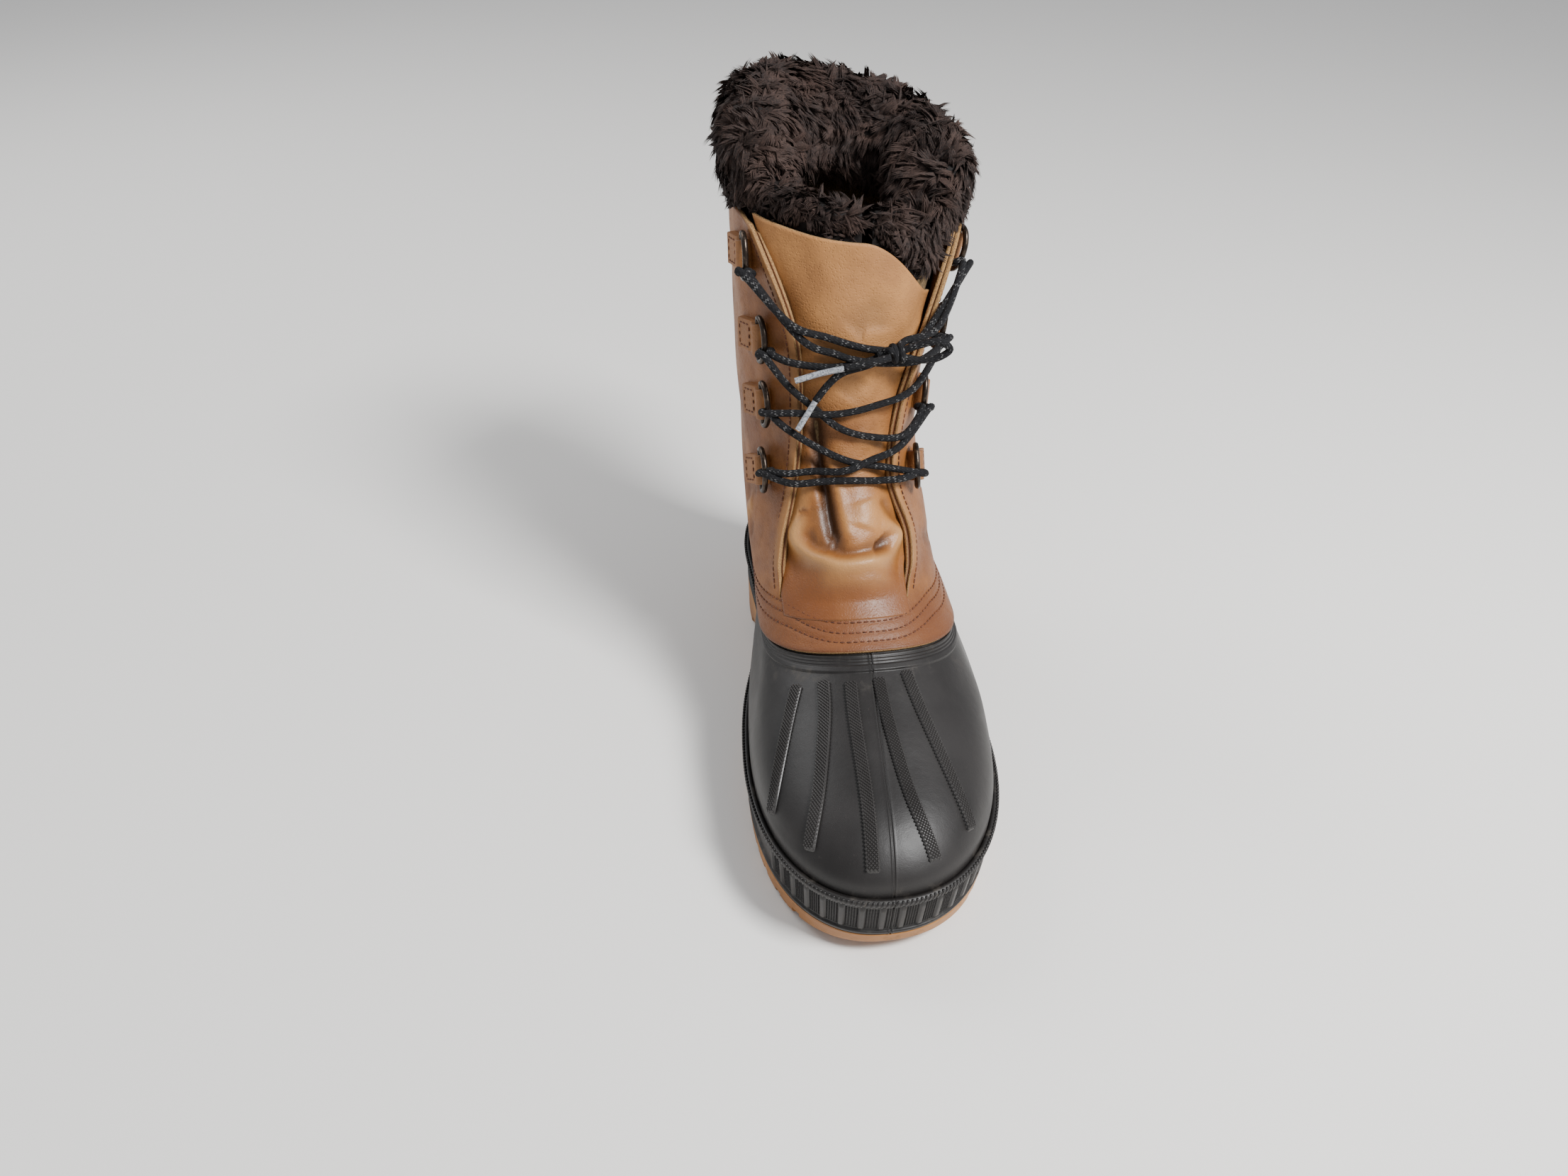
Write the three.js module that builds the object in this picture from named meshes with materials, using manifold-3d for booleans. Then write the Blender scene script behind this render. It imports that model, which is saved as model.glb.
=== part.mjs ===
// A left pac boot: a moulded rubber shell with a leather shaft sewn to it, a gum outsole, a felt liner
// whose pile cuff rolls over the collar, and a lace through four D-rings a side.
// Millimetres. +Z is up, the toe points along -Y, the inner (medial) side is -X.
// The origin is on the floor under the middle of the heel.
import * as THREE from "three";
import { mergeVertices } from "three/addons/utils/BufferGeometryUtils.js";
import Module from "manifold-3d";

const wasm = await Module();
wasm.setup();

// Driving sizes of the last
const bootLength = 309; // outside of the rubber shell, toe to heel
const heelBack = 40; // from the origin back to the end of the heel
const ballWidth = 122; // outside of the rubber shell at the ball
const shaftHeight = 252; // floor to the top edge of the leather
const inSwing = 11; // how far the toe swings inwards

// Walls and clearances
const clearance = 0.3; // between touching pieces
const rubberWall = 2.5;
const leatherWall = 2.2;
const feltWall = 7;
const linerEase = 0.4; // between the shell or the tongue and the felt

// Sole
const forefootThickness = 9;
const heelThickness = 28;
const toeSpring = 6; // lift of the shell's bottom edge at the toe
const soleEdgeOut = 3.2; // outsole edge beyond the shell
const lugDepth = 4;
const toeSoleThickness = 7;
const grooveWidth = 5;
const groovePitch = 15;
const heelGroovePitch = 13;
const archRise = 6; // hollow under the waist
const heelBreastY = -28;
const archFrontY = -92;

// Rubber band round the shell
const bandHeight = 24;
const bandWall = 2.6;
const beadRadius = 1.7;
const barsEachSide = 8;
const barPitch = 8.8;
const barWidth = 2.4;
const barRaise = 1;

// Raised ribs and collar of the toe
const ribWidth = 6.6;
const ribRaise = 1.7;
const collarRaise = 0.9;

// Leather details
const edgeFlare = 3.2; // how far the quarters' front edges stand off
const flareReach = 9;
const tongueWall = 1.8;
const bulgeUnit = 24; // the tongue's bulge is given in shares of this
const tongueTop = 12.1; // level of its top edge
const tongueFall = 0.9; // how many levels the top edge falls towards the outer side
const backstayWidth = 26;
const backstayRaise = 1.5;

// Lacing hardware
const ringWire = 3;
const ringHeight = 24;
const ringDepth = 12;
const ringTilt = 0.38; // radians, how far the rings swing off the leather
const tabHeight = 15;
const tabLength = 19;
const tabLayer = 1.7;
const ringSetback = 19.5; // from the quarter's front edge to the bar of the ring
const laceDiameter = 3.6;
const agletDiameter = 3;
const laceSlack = 1; // how far the strands stand off what they pass over

// Cuff
const locksPerRow = 14;
const lockLength = 10;
const lockRadius = 6.5;
const slitWidth = 5;
const linerTop = 12.15; // level of the liner's top edge
const seatGap = 0.95; // between the liner's top edge and the cuff

const materials = {
  rubber: new THREE.MeshStandardMaterial({ color: 0x2b2b2d, roughness: 0.5, metalness: 0 }),
  gum: new THREE.MeshStandardMaterial({ color: 0xb07a42, roughness: 0.6, metalness: 0 }),
  leather: new THREE.MeshStandardMaterial({ color: 0xb07540, roughness: 0.55, metalness: 0 }),
  felt: new THREE.MeshStandardMaterial({ color: 0x8f7650, roughness: 0.95, metalness: 0 }),
  pile: new THREE.MeshStandardMaterial({ color: 0x3a2c27, roughness: 0.95, metalness: 0 }),
  metal: new THREE.MeshStandardMaterial({ color: 0x4b4239, roughness: 0.4, metalness: 0.8 }),
  lace: new THREE.MeshStandardMaterial({ color: 0x26272b, roughness: 0.8, metalness: 0 }),
  aglet: new THREE.MeshStandardMaterial({ color: 0xb9bfc8, roughness: 0.35, metalness: 0.3 }),
};

// The last: one row for each level, from the shell's bottom edge (0) up to the top of the cuff (13).
// front and back: share of bootLength from the heel's end to the row's front and back point.
// frontZ and backZ: share of shaftHeight. inner and outer: share of half the ball width.
// widest: where along the row it is widest, from the back. nFront and nBack: squareness of its ends.
// waistIn and waistOut: hollow of the waist, share of half the ball width. follow: how much the row
// rides on the sole's curve. droop and lean: how far its sides sag, and sink outwards, share of shaftHeight.
// aside: sideways shift of its middle, share of half the ball width.
const lastRows = [
  ["front", "back", "frontZ", "backZ", "inner", "outer", "widest", "nFront", "nBack", "waistIn", "waistOut", "follow", "droop", "lean", "aside"],
  [0.994, 0.006, 0.000, 0.000, 0.93, 0.97, 0.67, 2.25, 2.6, 0.22, 0.12, 1.00, 0.000, 0, 0],
  [1.000, 0.000, 0.099, 0.087, 0.97, 1.01, 0.67, 2.25, 2.6, 0.21, 0.11, 1.00, 0.000, 0, 0],
  [0.980, -0.001, 0.151, 0.130, 0.97, 1.02, 0.68, 2.20, 2.6, 0.19, 0.10, 1.00, 0.024, 0, 0],
  [0.922, 0.000, 0.198, 0.165, 0.95, 1.01, 0.71, 2.15, 2.5, 0.17, 0.09, 1.00, 0.044, 0, 0],
  [0.825, 0.003, 0.249, 0.220, 0.90, 0.98, 0.76, 2.10, 2.5, 0.15, 0.07, 0.75, 0.056, 0, 0],
  [0.731, 0.007, 0.292, 0.270, 0.84, 0.91, 0.78, 2.05, 2.4, 0.11, 0.05, 0.50, 0.060, 0, 0],
  [0.647, 0.010, 0.334, 0.330, 0.79, 0.83, 0.76, 2.05, 2.3, 0.07, 0.03, 0.25, 0.058, 0, 0],
  [0.576, 0.010, 0.393, 0.398, 0.76, 0.75, 0.71, 2.05, 2.2, 0.03, 0.01, 0.00, 0.050, 0, -0.03],
  [0.502, 0.008, 0.468, 0.462, 0.73, 0.75, 0.62, 2.10, 2.1, 0.01, 0.00, 0.00, 0.030, 0, -0.07],
  [0.443, 0.002, 0.567, 0.552, 0.70, 0.72, 0.54, 2.15, 2.1, 0.00, 0.00, 0.00, 0.012, 0, -0.09],
  [0.401, -0.010, 0.694, 0.680, 0.73, 0.74, 0.50, 2.20, 2.1, 0.00, 0.00, 0.00, 0.000, 0, -0.09],
  [0.369, -0.027, 0.841, 0.840, 0.80, 0.81, 0.50, 2.20, 2.1, 0.00, 0.00, 0.00, 0.000, 0.006, -0.05],
  [0.343, -0.048, 1.000, 1.022, 0.87, 0.91, 0.50, 2.20, 2.1, 0.00, 0.00, 0.00, 0.000, 0.018, 0],
  [0.328, -0.060, 1.120, 1.160, 0.92, 0.98, 0.50, 2.20, 2.1, 0.00, 0.00, 0.00, 0.000, 0.034, 0],
];

// Named levels of the last
const level = { bottom: 0, bead: 1, collar: 5.62, leatherEdge: 6, rimTop: 7, top: 12, ridge: 13.2 };

// The throat's half width at each level, inner side then outer side, as a share of half the ball width
const throatRows = [
  ["level", "inner", "outer"],
  [7, 0.61, 0.38],
  [8, 0.50, 0.46],
  [9, 0.39, 0.34],
  [10, 0.35, 0.41],
  [11, 0.43, 0.63],
  [12, 0.74, 0.88],
];

// The tongue: its half widths as shares of half the ball width, and how far its middle stands off the
// last, as a share of bulgeUnit
const tongueRows = [
  ["level", "inner", "outer", "bulge"],
  [7.04, 0.595, 0.37, 0],
  [7.5, 0.56, 0.405, 0.271],
  [8, 0.58, 0.52, 0.375],
  [8.5, 0.56, 0.50, 0.3125],
  [9, 0.52, 0.49, 0.1875],
  [10, 0.50, 0.55, 0.125],
  [11, 0.56, 0.64, 0.1667],
  [12.1, 0.76, 0.72, 0.208],
];

// A table with a heading row as a list of named rows.
function named([heading, ...rows]) {
  return rows.map((row) => Object.fromEntries(heading.map((name, i) => [name, row[i]])));
}

// The value between b and c at t, on a smooth curve through a, b, c and d.
function smooth(a, b, c, d, t) {
  const slopeB = (c - a) / 2;
  const slopeC = (d - b) / 2;
  const t2 = t * t;
  const t3 = t2 * t;
  return (2 * t3 - 3 * t2 + 1) * b + (t3 - 2 * t2 + t) * slopeB + (-2 * t3 + 3 * t2) * c + (t3 - t2) * slopeC;
}

// A reader of a table: every column at a level between its rows, carried on straight past its ends.
function reader(table, key = null) {
  const rows = named(table);
  const columns = Object.keys(rows[0]).filter((name) => name !== key);
  const last = rows.length - 1;
  const at = (i, name) => {
    if (i < 0) return 2 * rows[0][name] - rows[1][name];
    if (i > last) return 2 * rows[last][name] - rows[last - 1][name];
    return rows[i][name];
  };
  const place = (v) => {
    if (!key) return v;
    let i = 0;
    while (i < last - 1 && rows[i + 1][key] < v) i++;
    return i + (v - rows[i][key]) / (rows[i + 1][key] - rows[i][key]);
  };
  return (v) => {
    const p = place(v);
    const i = Math.min(Math.max(Math.floor(p), 0), last - 1);
    const t = p - i;
    return Object.fromEntries(
      columns.map((name) => [
        name,
        t > 1
          ? at(last, name) + (t - 1) * (at(last, name) - at(last - 1, name))
          : smooth(at(i - 1, name), at(i, name), at(i + 1, name), at(i + 2, name), Math.max(t, 0)),
      ]),
    );
  };
}

const lastAt = reader(lastRows);
const throatAt = reader(throatRows, "level");
const tongueAt = reader(tongueRows, "level");
const toeY = heelBack - bootLength;
const halfBall = ballWidth / 2;
const linerOut = -rubberWall - linerEase; // the liner's outer face in the shell, and in the shaft
const linerOutTop = linerOut - 1;
const deepest = 12; // how far inside the last its sections are still true offsets
const swingFrom = toeY * 0.3;

function ramp(from, to, x) {
  const t = Math.min(Math.max((x - from) / (to - from), 0), 1);
  return t * t * (3 - 2 * t);
}

// Height of the shell's bottom edge, which is the top of the outsole, along the boot.
function featherZ(y) {
  const springFrom = toeY * 0.56;
  const spring = y < springFrom ? toeSpring * ((springFrom - y) / (springFrom - toeY)) ** 2 : 0;
  const lift = (heelThickness - forefootThickness) * ramp(toeY * 0.42, toeY * 0.1, y);
  return forefootThickness + spring + lift;
}

// Height of the outsole's underside along the boot.
function treadZ(y) {
  const toe = featherZ(toeY) - toeSoleThickness;
  const springFrom = toeY * 0.8;
  const spring = y < springFrom ? toe * ((springFrom - y) / (springFrom - toeY)) ** 2 : 0;
  const arch = archRise * ramp(archFrontY, archFrontY + 24, y) * (y < heelBreastY ? 1 : 0);
  return spring + arch;
}

// Sideways shift of the last's middle line.
function swingX(y) {
  const share = Math.min(Math.max((y - swingFrom) / (toeY - swingFrom), 0), 1.1);
  return -inSwing * share ** 1.5;
}

// A point of the last: v is the level, and u goes round it, 0 at the front, 1 and -1 at the back,
// positive on the outer side.
function lastPoint(v, u) {
  const row = lastAt(v);
  const place = u - 2 * Math.round(u / 2);
  const angle = Math.PI * Math.abs(place);
  const cos = Math.cos(angle);
  const sin = Math.max(Math.sin(angle), 0);
  const side = place < 0 ? "inner" : "outer";
  const waist = place < 0 ? row.waistIn : row.waistOut;
  const inFront = cos > 0;
  const n = inFront ? row.nFront : row.nBack;
  const reach = Math.abs(cos) ** (2 / n);
  const along = inFront ? row.widest + (1 - row.widest) * reach : row.widest * (1 - reach);
  const hollow = waist * Math.exp(-(((along - 0.36) / 0.16) ** 2));
  const wide = row[side] * sin ** (2 / n);
  const half = halfBall * (wide - hollow * Math.min(1, sin * 1.5));
  const frontY = heelBack - row.front * bootLength;
  const backY = heelBack - row.back * bootLength;
  const y = backY + (frontY - backY) * along;
  const height = shaftHeight * (row.backZ + (row.frontZ - row.backZ) * along);
  const sag = shaftHeight * (row.droop * (wide / row[side]) ** 2 + Math.sign(place) * row.lean * wide);
  return new THREE.Vector3(swingX(y) + halfBall * row.aside + Math.sign(place) * half, y, height - sag + row.follow * featherZ(y));
}

// The way out of the last at a level and place.
function lastNormal(v, u) {
  const step = 0.004;
  const along = lastPoint(v, u + step).sub(lastPoint(v, u - step));
  const up = lastPoint(v + step * 5, u).sub(lastPoint(v - step * 5, u));
  return along.cross(up).normalize();
}

// A point off the last. Far inside, the rest of the way goes towards the row's middle.
function offPoint(v, u, offset) {
  const near = Math.max(offset, -deepest);
  const p = lastPoint(v, u).addScaledVector(lastNormal(v, u), near);
  const middle = lastPoint(v, 0).add(lastPoint(v, 1)).multiplyScalar(0.5).setZ(p.z);
  return p.lerp(middle, (near - offset) / (halfBall - deepest));
}

// The place round the last where it is a given distance to the side of its front ridge.
function placeAt(v, side, distance) {
  const row = lastAt(v);
  const half = halfBall * (side < 0 ? row.inner : row.outer);
  const share = Math.min(distance / half, 0.995);
  return (side * Math.asin(share ** (row.nFront / 2))) / Math.PI;
}

// The place a given length round the last from another, away from the front.
function walk(v, from, length) {
  const side = Math.sign(from);
  const step = 0.004 * side;
  let u = from;
  let gone = 0;
  while (gone < length) {
    gone += lastPoint(v, u + step).distanceTo(lastPoint(v, u));
    u += step;
  }
  return u;
}

// Places round the last, closer together at the front where the form turns fastest.
function around(count) {
  return Array.from({ length: count }, (_, i) => {
    const t = (2 * i) / count;
    const u = t <= 1 ? t : t - 2;
    return u - Math.sign(u) * 0.055 * Math.sin(Math.PI * Math.abs(u));
  });
}

// Evenly spaced numbers from low to high.
function steps(low, high, count) {
  return Array.from({ length: count + 1 }, (_, i) => low + ((high - low) * i) / count);
}

// A closed solid from vertices and triangles, turned to face outwards.
function solidFrom(points, triangles) {
  const make = (faces) =>
    new wasm.Manifold(
      new wasm.Mesh({
        numProp: 3,
        vertProperties: new Float32Array(points.flatMap((p) => [p.x, p.y, p.z])),
        triVerts: new Uint32Array(faces.flat()),
      }),
    );
  const volume = triangles.reduce((sum, [a, b, c]) => sum + points[a].dot(points[b].clone().cross(points[c])), 0);
  return make(volume > 0 ? triangles : triangles.map(([a, b, c]) => [a, c, b]));
}

// A solid through a list of closed loops with equally many points. The last loop joins the first
// if the row of loops is closed, and otherwise each end gets a cap. Where turned(i) holds, the facets
// are split along their other diagonal, so that both faces of a wall are split the same way.
function loft(loops, closed = false, turned = () => false) {
  const n = loops[0].length;
  const triangles = [];
  const count = loops.length;
  for (let j = 0; j < (closed ? count : count - 1); j++) {
    const next = (j + 1) % count;
    for (let i = 0; i < n; i++) {
      const k = (i + 1) % n;
      const [a, b, c, d] = [j * n + i, j * n + k, next * n + k, next * n + i];
      triangles.push(...(turned(i) ? [[a, b, d], [b, c, d]] : [[a, b, c], [a, c, d]]));
    }
  }
  if (!closed) {
    for (const [base, flip] of [[0, true], [(count - 1) * n, false]]) {
      for (let i = 0; i < n / 2 - 1; i++) {
        const j = (n - i) % n;
        const quad = [base + i, base + i + 1, base + n - i - 1, base + j];
        const faces = i === 0 ? [[quad[0], quad[1], quad[2]]] : [[quad[0], quad[1], quad[2]], [quad[0], quad[2], quad[3]]];
        triangles.push(...faces.map(([a, b, c]) => (flip ? [a, c, b] : [a, b, c])));
      }
      const m = n / 2;
      const end = [base + m - 1, base + m, base + m + 1];
      triangles.push(flip ? [end[0], end[2], end[1]] : end);
    }
  }
  return solidFrom(loops.flat(), triangles);
}

// A three.js geometry as a solid.
function solidOf(geometry) {
  const bare = geometry.index ? geometry.toNonIndexed() : geometry.clone();
  const merged = mergeVertices(new THREE.BufferGeometry().setAttribute("position", bare.getAttribute("position")), 1e-3);
  return new wasm.Manifold(
    new wasm.Mesh({ numProp: 3, vertProperties: merged.attributes.position.array, triVerts: new Uint32Array(merged.index.array) }),
  );
}

// A hollow wall round the last: profile(u) gives its section there as a closed list of [level, offset].
function sleeve(places, profile) {
  const levels = profile(places[0]).map(([v]) => v);
  const loops = places.map((u) => profile(u).map(([v, offset]) => offPoint(v, u, offset)));
  return loft(loops, true, (i) => levels[(i + 1) % levels.length] < levels[i]);
}

// The filled last from one level to another, grown by an offset.
function filledLast(places, levels, offset) {
  return loft(levels.map((v) => places.map((u) => offPoint(v, u, offset(v, u)))));
}

// A block on the last: rows of [level, place] points, between two offsets that may change over it.
function patch(rows, outer, inner) {
  const loops = rows.map((row) => {
    const out = row.map(([v, u], i) => offPoint(v, u, outer(v, u, i)));
    const back = row.map(([v, u], i) => offPoint(v, u, inner(v, u, i)));
    return [...out, ...back.reverse()];
  });
  return loft(loops, false, (i) => i >= rows[0].length);
}

// An upright prism on a plan outline.
function prism(outline, low, high) {
  const shape = new THREE.Shape(outline.map(([x, y]) => new THREE.Vector2(x, y)));
  const geometry = new THREE.ExtrudeGeometry(shape, { depth: high - low, bevelEnabled: false });
  return solidOf(geometry.translate(0, 0, low));
}

// A strip of a width along a plan line, as an outline.
function stripOutline(line, width) {
  const curve = new THREE.CatmullRomCurve3(line.map(([x, y]) => new THREE.Vector3(x, y, 0)));
  const points = curve.getSpacedPoints(6);
  const sides = [1, -1].map((side) =>
    points.map((p, i) => {
      const tangent = curve.getTangentAt(i / 6);
      return [p.x - (side * tangent.y * width) / 2, p.y + (side * tangent.x * width) / 2];
    }),
  );
  return [...sides[0], ...sides[1].reverse()];
}

// Shared stations, so that the facets of nested walls lie parallel
const columns = around(28);
const shellLevels = [1, 1.5, 2, 2.6, 3.3, 4, 4.8];
const shaftLevels = [7, 7.5, 8, 8.5, 9, 9.6, 10.3, 11.1, 12];
const bottomGap = 0.03; // level of the shell's bottom edge, a little above the outsole

// The place of the throat's edge on one side at a level.
function throatEdge(v, side) {
  const row = throatAt(Math.min(v, level.top));
  return placeAt(v, side, halfBall * (side < 0 ? row.inner : row.outer));
}

// How far the quarters stand off the last at a place: most at their front edge.
function flare(v, u) {
  const edge = throatEdge(v, u < 0 ? -1 : 1);
  const beyond = Math.abs(u) > Math.abs(edge) ? lastPoint(v, u).distanceTo(lastPoint(v, edge)) : 0;
  return edgeFlare * ramp(level.rimTop, level.rimTop + 0.6, v) * Math.exp(-((beyond / flareReach) ** 2));
}

// Rubber shell: one moulded wall open underneath, with a raised collar and five ribs over the toe.
function rubberShell() {
  const outer = [
    [bottomGap, 0], ...shellLevels.map((v) => [v, 0]), [level.collar, 0], [level.collar + 0.02, collarRaise],
    [5.95, collarRaise], [5.97, 0], [level.rimTop, 0],
  ];
  const inner = [level.rimTop, 6, 4.8, 3.3, 2, 1, bottomGap].map((v) => [v, -rubberWall]);
  const wall = sleeve(columns, () => [...outer, ...inner]);
  const ribLevels = [1.1, ...shellLevels.slice(1), 5.5];
  const skin = filledLast(columns, ribLevels, () => ribRaise);
  const core = filledLast(columns, [1, ...ribLevels.slice(1, -1), 5.6], () => -rubberWall / 2);
  const ribs = toeRibs.map((line) => {
    const outline = stripOutline(line.map(([x, y]) => [x * halfBall + swingX(y * toeY), y * toeY]), ribWidth);
    return prism(outline, 0, shaftHeight / 2).intersect(skin).subtract(core);
  });
  return ribs.reduce((body, rib) => body.add(rib), wall);
}

// Plan lines of the toe's ribs: x as a share of half the ball width, y as a share of the toe's reach.
const toeRibs = [
  [[-0.58, 0.605], [-0.665, 0.663], [-0.767, 0.746], [-0.849, 0.818]],
  [[-0.384, 0.62], [-0.403, 0.697], [-0.493, 0.825], [-0.6, 0.92]],
  [[-0.179, 0.638], [-0.184, 0.713], [-0.161, 0.861], [-0.155, 0.985]],
  [[0.043, 0.638], [0.069, 0.721], [0.167, 0.869], [0.32, 0.972]],
  [[0.265, 0.62], [0.351, 0.704], [0.52, 0.834], [0.64, 0.912]],
];

// Foxing band: a strip round the shell with a bead on top, a sunken field with bars, and a lower lip.
function foxingBand() {
  const share = 1 / bandHeight; // of a level, for a millimetre
  const out = bandWall + clearance;
  const field = out - 0.9;
  const beadLow = level.bead - 2 * beadRadius * share;
  const outer = [
    [bottomGap, out], [2.6 * share, out + 0.4], [3.4 * share, field], [beadLow - 0.04, field],
    [beadLow, out], [level.bead - beadRadius * share, out + 0.7], [level.bead, out - 1.2],
  ];
  const inner = [[level.bead, clearance], [bottomGap, clearance]];
  const band = sleeve(columns, () => [...outer, ...inner]);
  const bars = [-1, 1].flatMap((side) =>
    steps(0.5, barsEachSide - 0.5, barsEachSide - 1).map((turn) => {
      const near = walk(0.5, side * 1e-4, turn * barPitch - barWidth / 2);
      const far = walk(0.5, side * 1e-4, turn * barPitch + barWidth / 2);
      const rows = [3 * share, beadLow - 0.02].map((v) => [near, far].sort((a, b) => a - b).map((u) => [v, u]));
      return patch(rows, () => field + barRaise, () => field - barRaise);
    }),
  );
  return bars.reduce((body, bar) => body.add(bar), band);
}

// Outsole: a slab on the shell's outline, with toe spring, a hollow waist, a heel and cut lugs.
function outsole() {
  const places = columns;
  const plan = places.map((u) => offPoint(0.05, u, soleEdgeOut));
  const ring = (height, grow) =>
    plan.map((p, i) => {
      const out = lastNormal(0.05, places[i]).setZ(0).setLength(Math.max(grow, 0) + 1e-6);
      const inward = grow < 0 ? lastNormal(0.05, places[i]).setZ(0).setLength(-grow).negate() : out;
      const q = p.clone().add(inward);
      return new THREE.Vector3(q.x, q.y, height(q.y));
    });
  const middle = (y) => (treadZ(y) + featherZ(y)) / 2;
  const slab = loft([ring(treadZ, -4), ring(middle, -0.6), ring(featherZ, 0)]);
  const cutLayer = loft([ring((y) => treadZ(y) - 12, 6), ring((y) => treadZ(y) + lugDepth, 6)]);
  const zigzag = (y, depth) => {
    const reach = ballWidth * 0.62;
    const xs = steps(-reach, reach, 4);
    const line = xs.map((x, i) => [x, y + (i % 2 ? depth : 0)]);
    return [...line, ...line.map(([x, at]) => [x, at + grooveWidth]).reverse()];
  };
  const forefoot = steps(0, 9, 9).map((i) => zigzag(toeY + 17 + i * groovePitch, 5));
  const heel = steps(0, 3, 3).map((i) => zigzag(heelBreastY + 8 + i * heelGroovePitch, 4));
  const breast = [[-ballWidth, archFrontY + 26], [ballWidth, archFrontY + 26], [ballWidth, heelBreastY], [-ballWidth, heelBreastY]];
  const grooves = [...forefoot, ...heel].map((outline) => prism(outline, -20, 60));
  const cut = grooves.reduce((all, groove) => all.add(groove)).intersect(cutLayer);
  const waistLayer = loft([ring((y) => treadZ(y) - 12, 6), ring((y) => featherZ(y) - forefootThickness + 2.5, 6)]);
  const waist = prism(breast, -20, 60).intersect(waistLayer);
  return slab.subtract(cut).subtract(waist);
}

// The throat of the leather, as the block cut out of it.
function throatBlock() {
  const rows = steps(level.rimTop, level.top + 1.6, 9).map((v) => {
    return steps(throatEdge(v, -1), throatEdge(v, 1), 8).map((u) => [v, u]);
  });
  return patch(rows, () => 16, () => -11);
}

// Leather upper: a stitched strip over the shell's rim, two quarters and a backstay in one wall.
function leatherUpper() {
  const under = clearance;
  const over = clearance + leatherWall;
  const levels = [6, ...shaftLevels];
  const wall = sleeve(columns, (u) => [
    ...levels.map((v) => [v, over + flare(v, u)]),
    ...levels.toReversed().map((v) => [v, under + flare(v, u)]),
  ]);
  const backstay = patch(
    [6.25, ...shaftLevels.slice(0, -1), 11.9].map((v) => [-1, 0, 1].map((t) => [v, backPlace(v, t)])),
    () => over + backstayRaise,
    () => over - leatherWall / 2,
  );
  return wall.add(backstay).subtract(throatBlock());
}

// The place on the back of the last that lies t half-widths of the backstay to the side of its middle line.
function backPlace(v, t) {
  const scale = lastPoint(v, 0.98).distanceTo(lastPoint(v, -0.98)) / 0.04;
  return 1 + (t * backstayWidth) / 2 / scale;
}

// How far the tongue's outer face stands off the last, at a level and a share of its half width.
function tongueOff(v, share) {
  const under = ramp(7.2, 7.9, v);
  const base = (clearance + leatherWall) * (1 - under) - clearance * under;
  const crown = Math.max(1 - 1.35 * share * share, 0) ** 1.2;
  return base + tongueAt(v).bulge * bulgeUnit * crown;
}

// Tongue: one thin wall that starts at the stitched strip, bulges out of the throat and lies under the
// quarters. Its top edge falls towards the outer side.
function tongue() {
  const levels = [7.04, 7.25, ...shaftLevels.slice(1, -1), 11.6, tongueTop];
  const across = steps(-1, 1, 12);
  const rows = levels.map((v) =>
    across.map((t) => {
      const fallen = v - tongueFall * ramp(10.6, tongueTop, v) * ramp(0, 1.2, t);
      const row = tongueAt(v);
      const width = Math.abs(t) * halfBall * (t < 0 ? row.inner : row.outer);
      return [fallen, placeAt(fallen, Math.sign(t) || 1, width)];
    }),
  );
  return patch(rows, (v, u, i) => tongueOff(v, across[i]), (v, u, i) => tongueOff(v, across[i]) - tongueWall);
}

// How far the liner's top edge is cut down at a place, in levels: most at the front.
function frontFall(u) {
  return 0.8 * (1 - ramp(0.14, 0.46, Math.abs(u)));
}

// Felt liner: a sock of thick felt inside the shell and the shaft, open at the top, slit at the front.
function feltLiner() {
  const fill = (places, levels, offset) =>
    loft(levels.map((v) => places.map((u) => offPoint(v - frontFall(u) * ramp(10.6, linerTop, v), u, offset(v)))));
  const outerLevels = [0.05, 1, 2, 3.3, 4.8, 6, 7, 7.5, 8, 8.5, 9, 9.6, 10.8, linerTop];
  const outside = fill(columns, outerLevels, (v) => linerOut - (linerOut - linerOutTop) * ramp(6.5, 8, v));
  const inside = fill(around(20), [0.4, 1.1, 2.6, 5, 8, 9.6, 10.8, 12.6], () => linerOut - feltWall);
  return outside.subtract(inside).subtract(frontSlit());
}

// The slit down the front of the liner and its cuff.
function frontSlit() {
  const low = lastPoint(10.2, 0);
  const high = lastPoint(level.ridge + 1.5, 0);
  const box = new THREE.BoxGeometry(slitWidth, bootLength * 0.2, high.z - low.z);
  return solidOf(box.translate(swingX(low.y) + 3, low.y, (high.z + low.z) / 2));
}

// Insole: a felt plate on the liner's floor.
function insole() {
  const grow = -rubberWall - linerEase - feltWall - 1.6;
  return filledLast(around(20), [0.415, 0.55], () => grow);
}

// Height of the liner's top face over a point. The face is straight from side to side.
function linerTopZ({ x, y }) {
  const [left, right] = [-1, 1].map((side) => {
    const half = columns.filter((u) => u * side >= 0 || u === 1);
    const ring = half.map((u) => offPoint(linerTop - frontFall(u), u, linerOutTop)).sort((a, b) => a.y - b.y);
    const next = ring.findIndex((p, i) => i > 0 && (p.y > y || i === ring.length - 1));
    const [a, b] = [ring[next - 1], ring[next]];
    return a.clone().lerp(b, (y - a.y) / (b.y - a.y));
  });
  return left.z + ((right.z - left.z) * (x - left.x)) / Math.max(right.x - left.x, 1);
}

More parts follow.
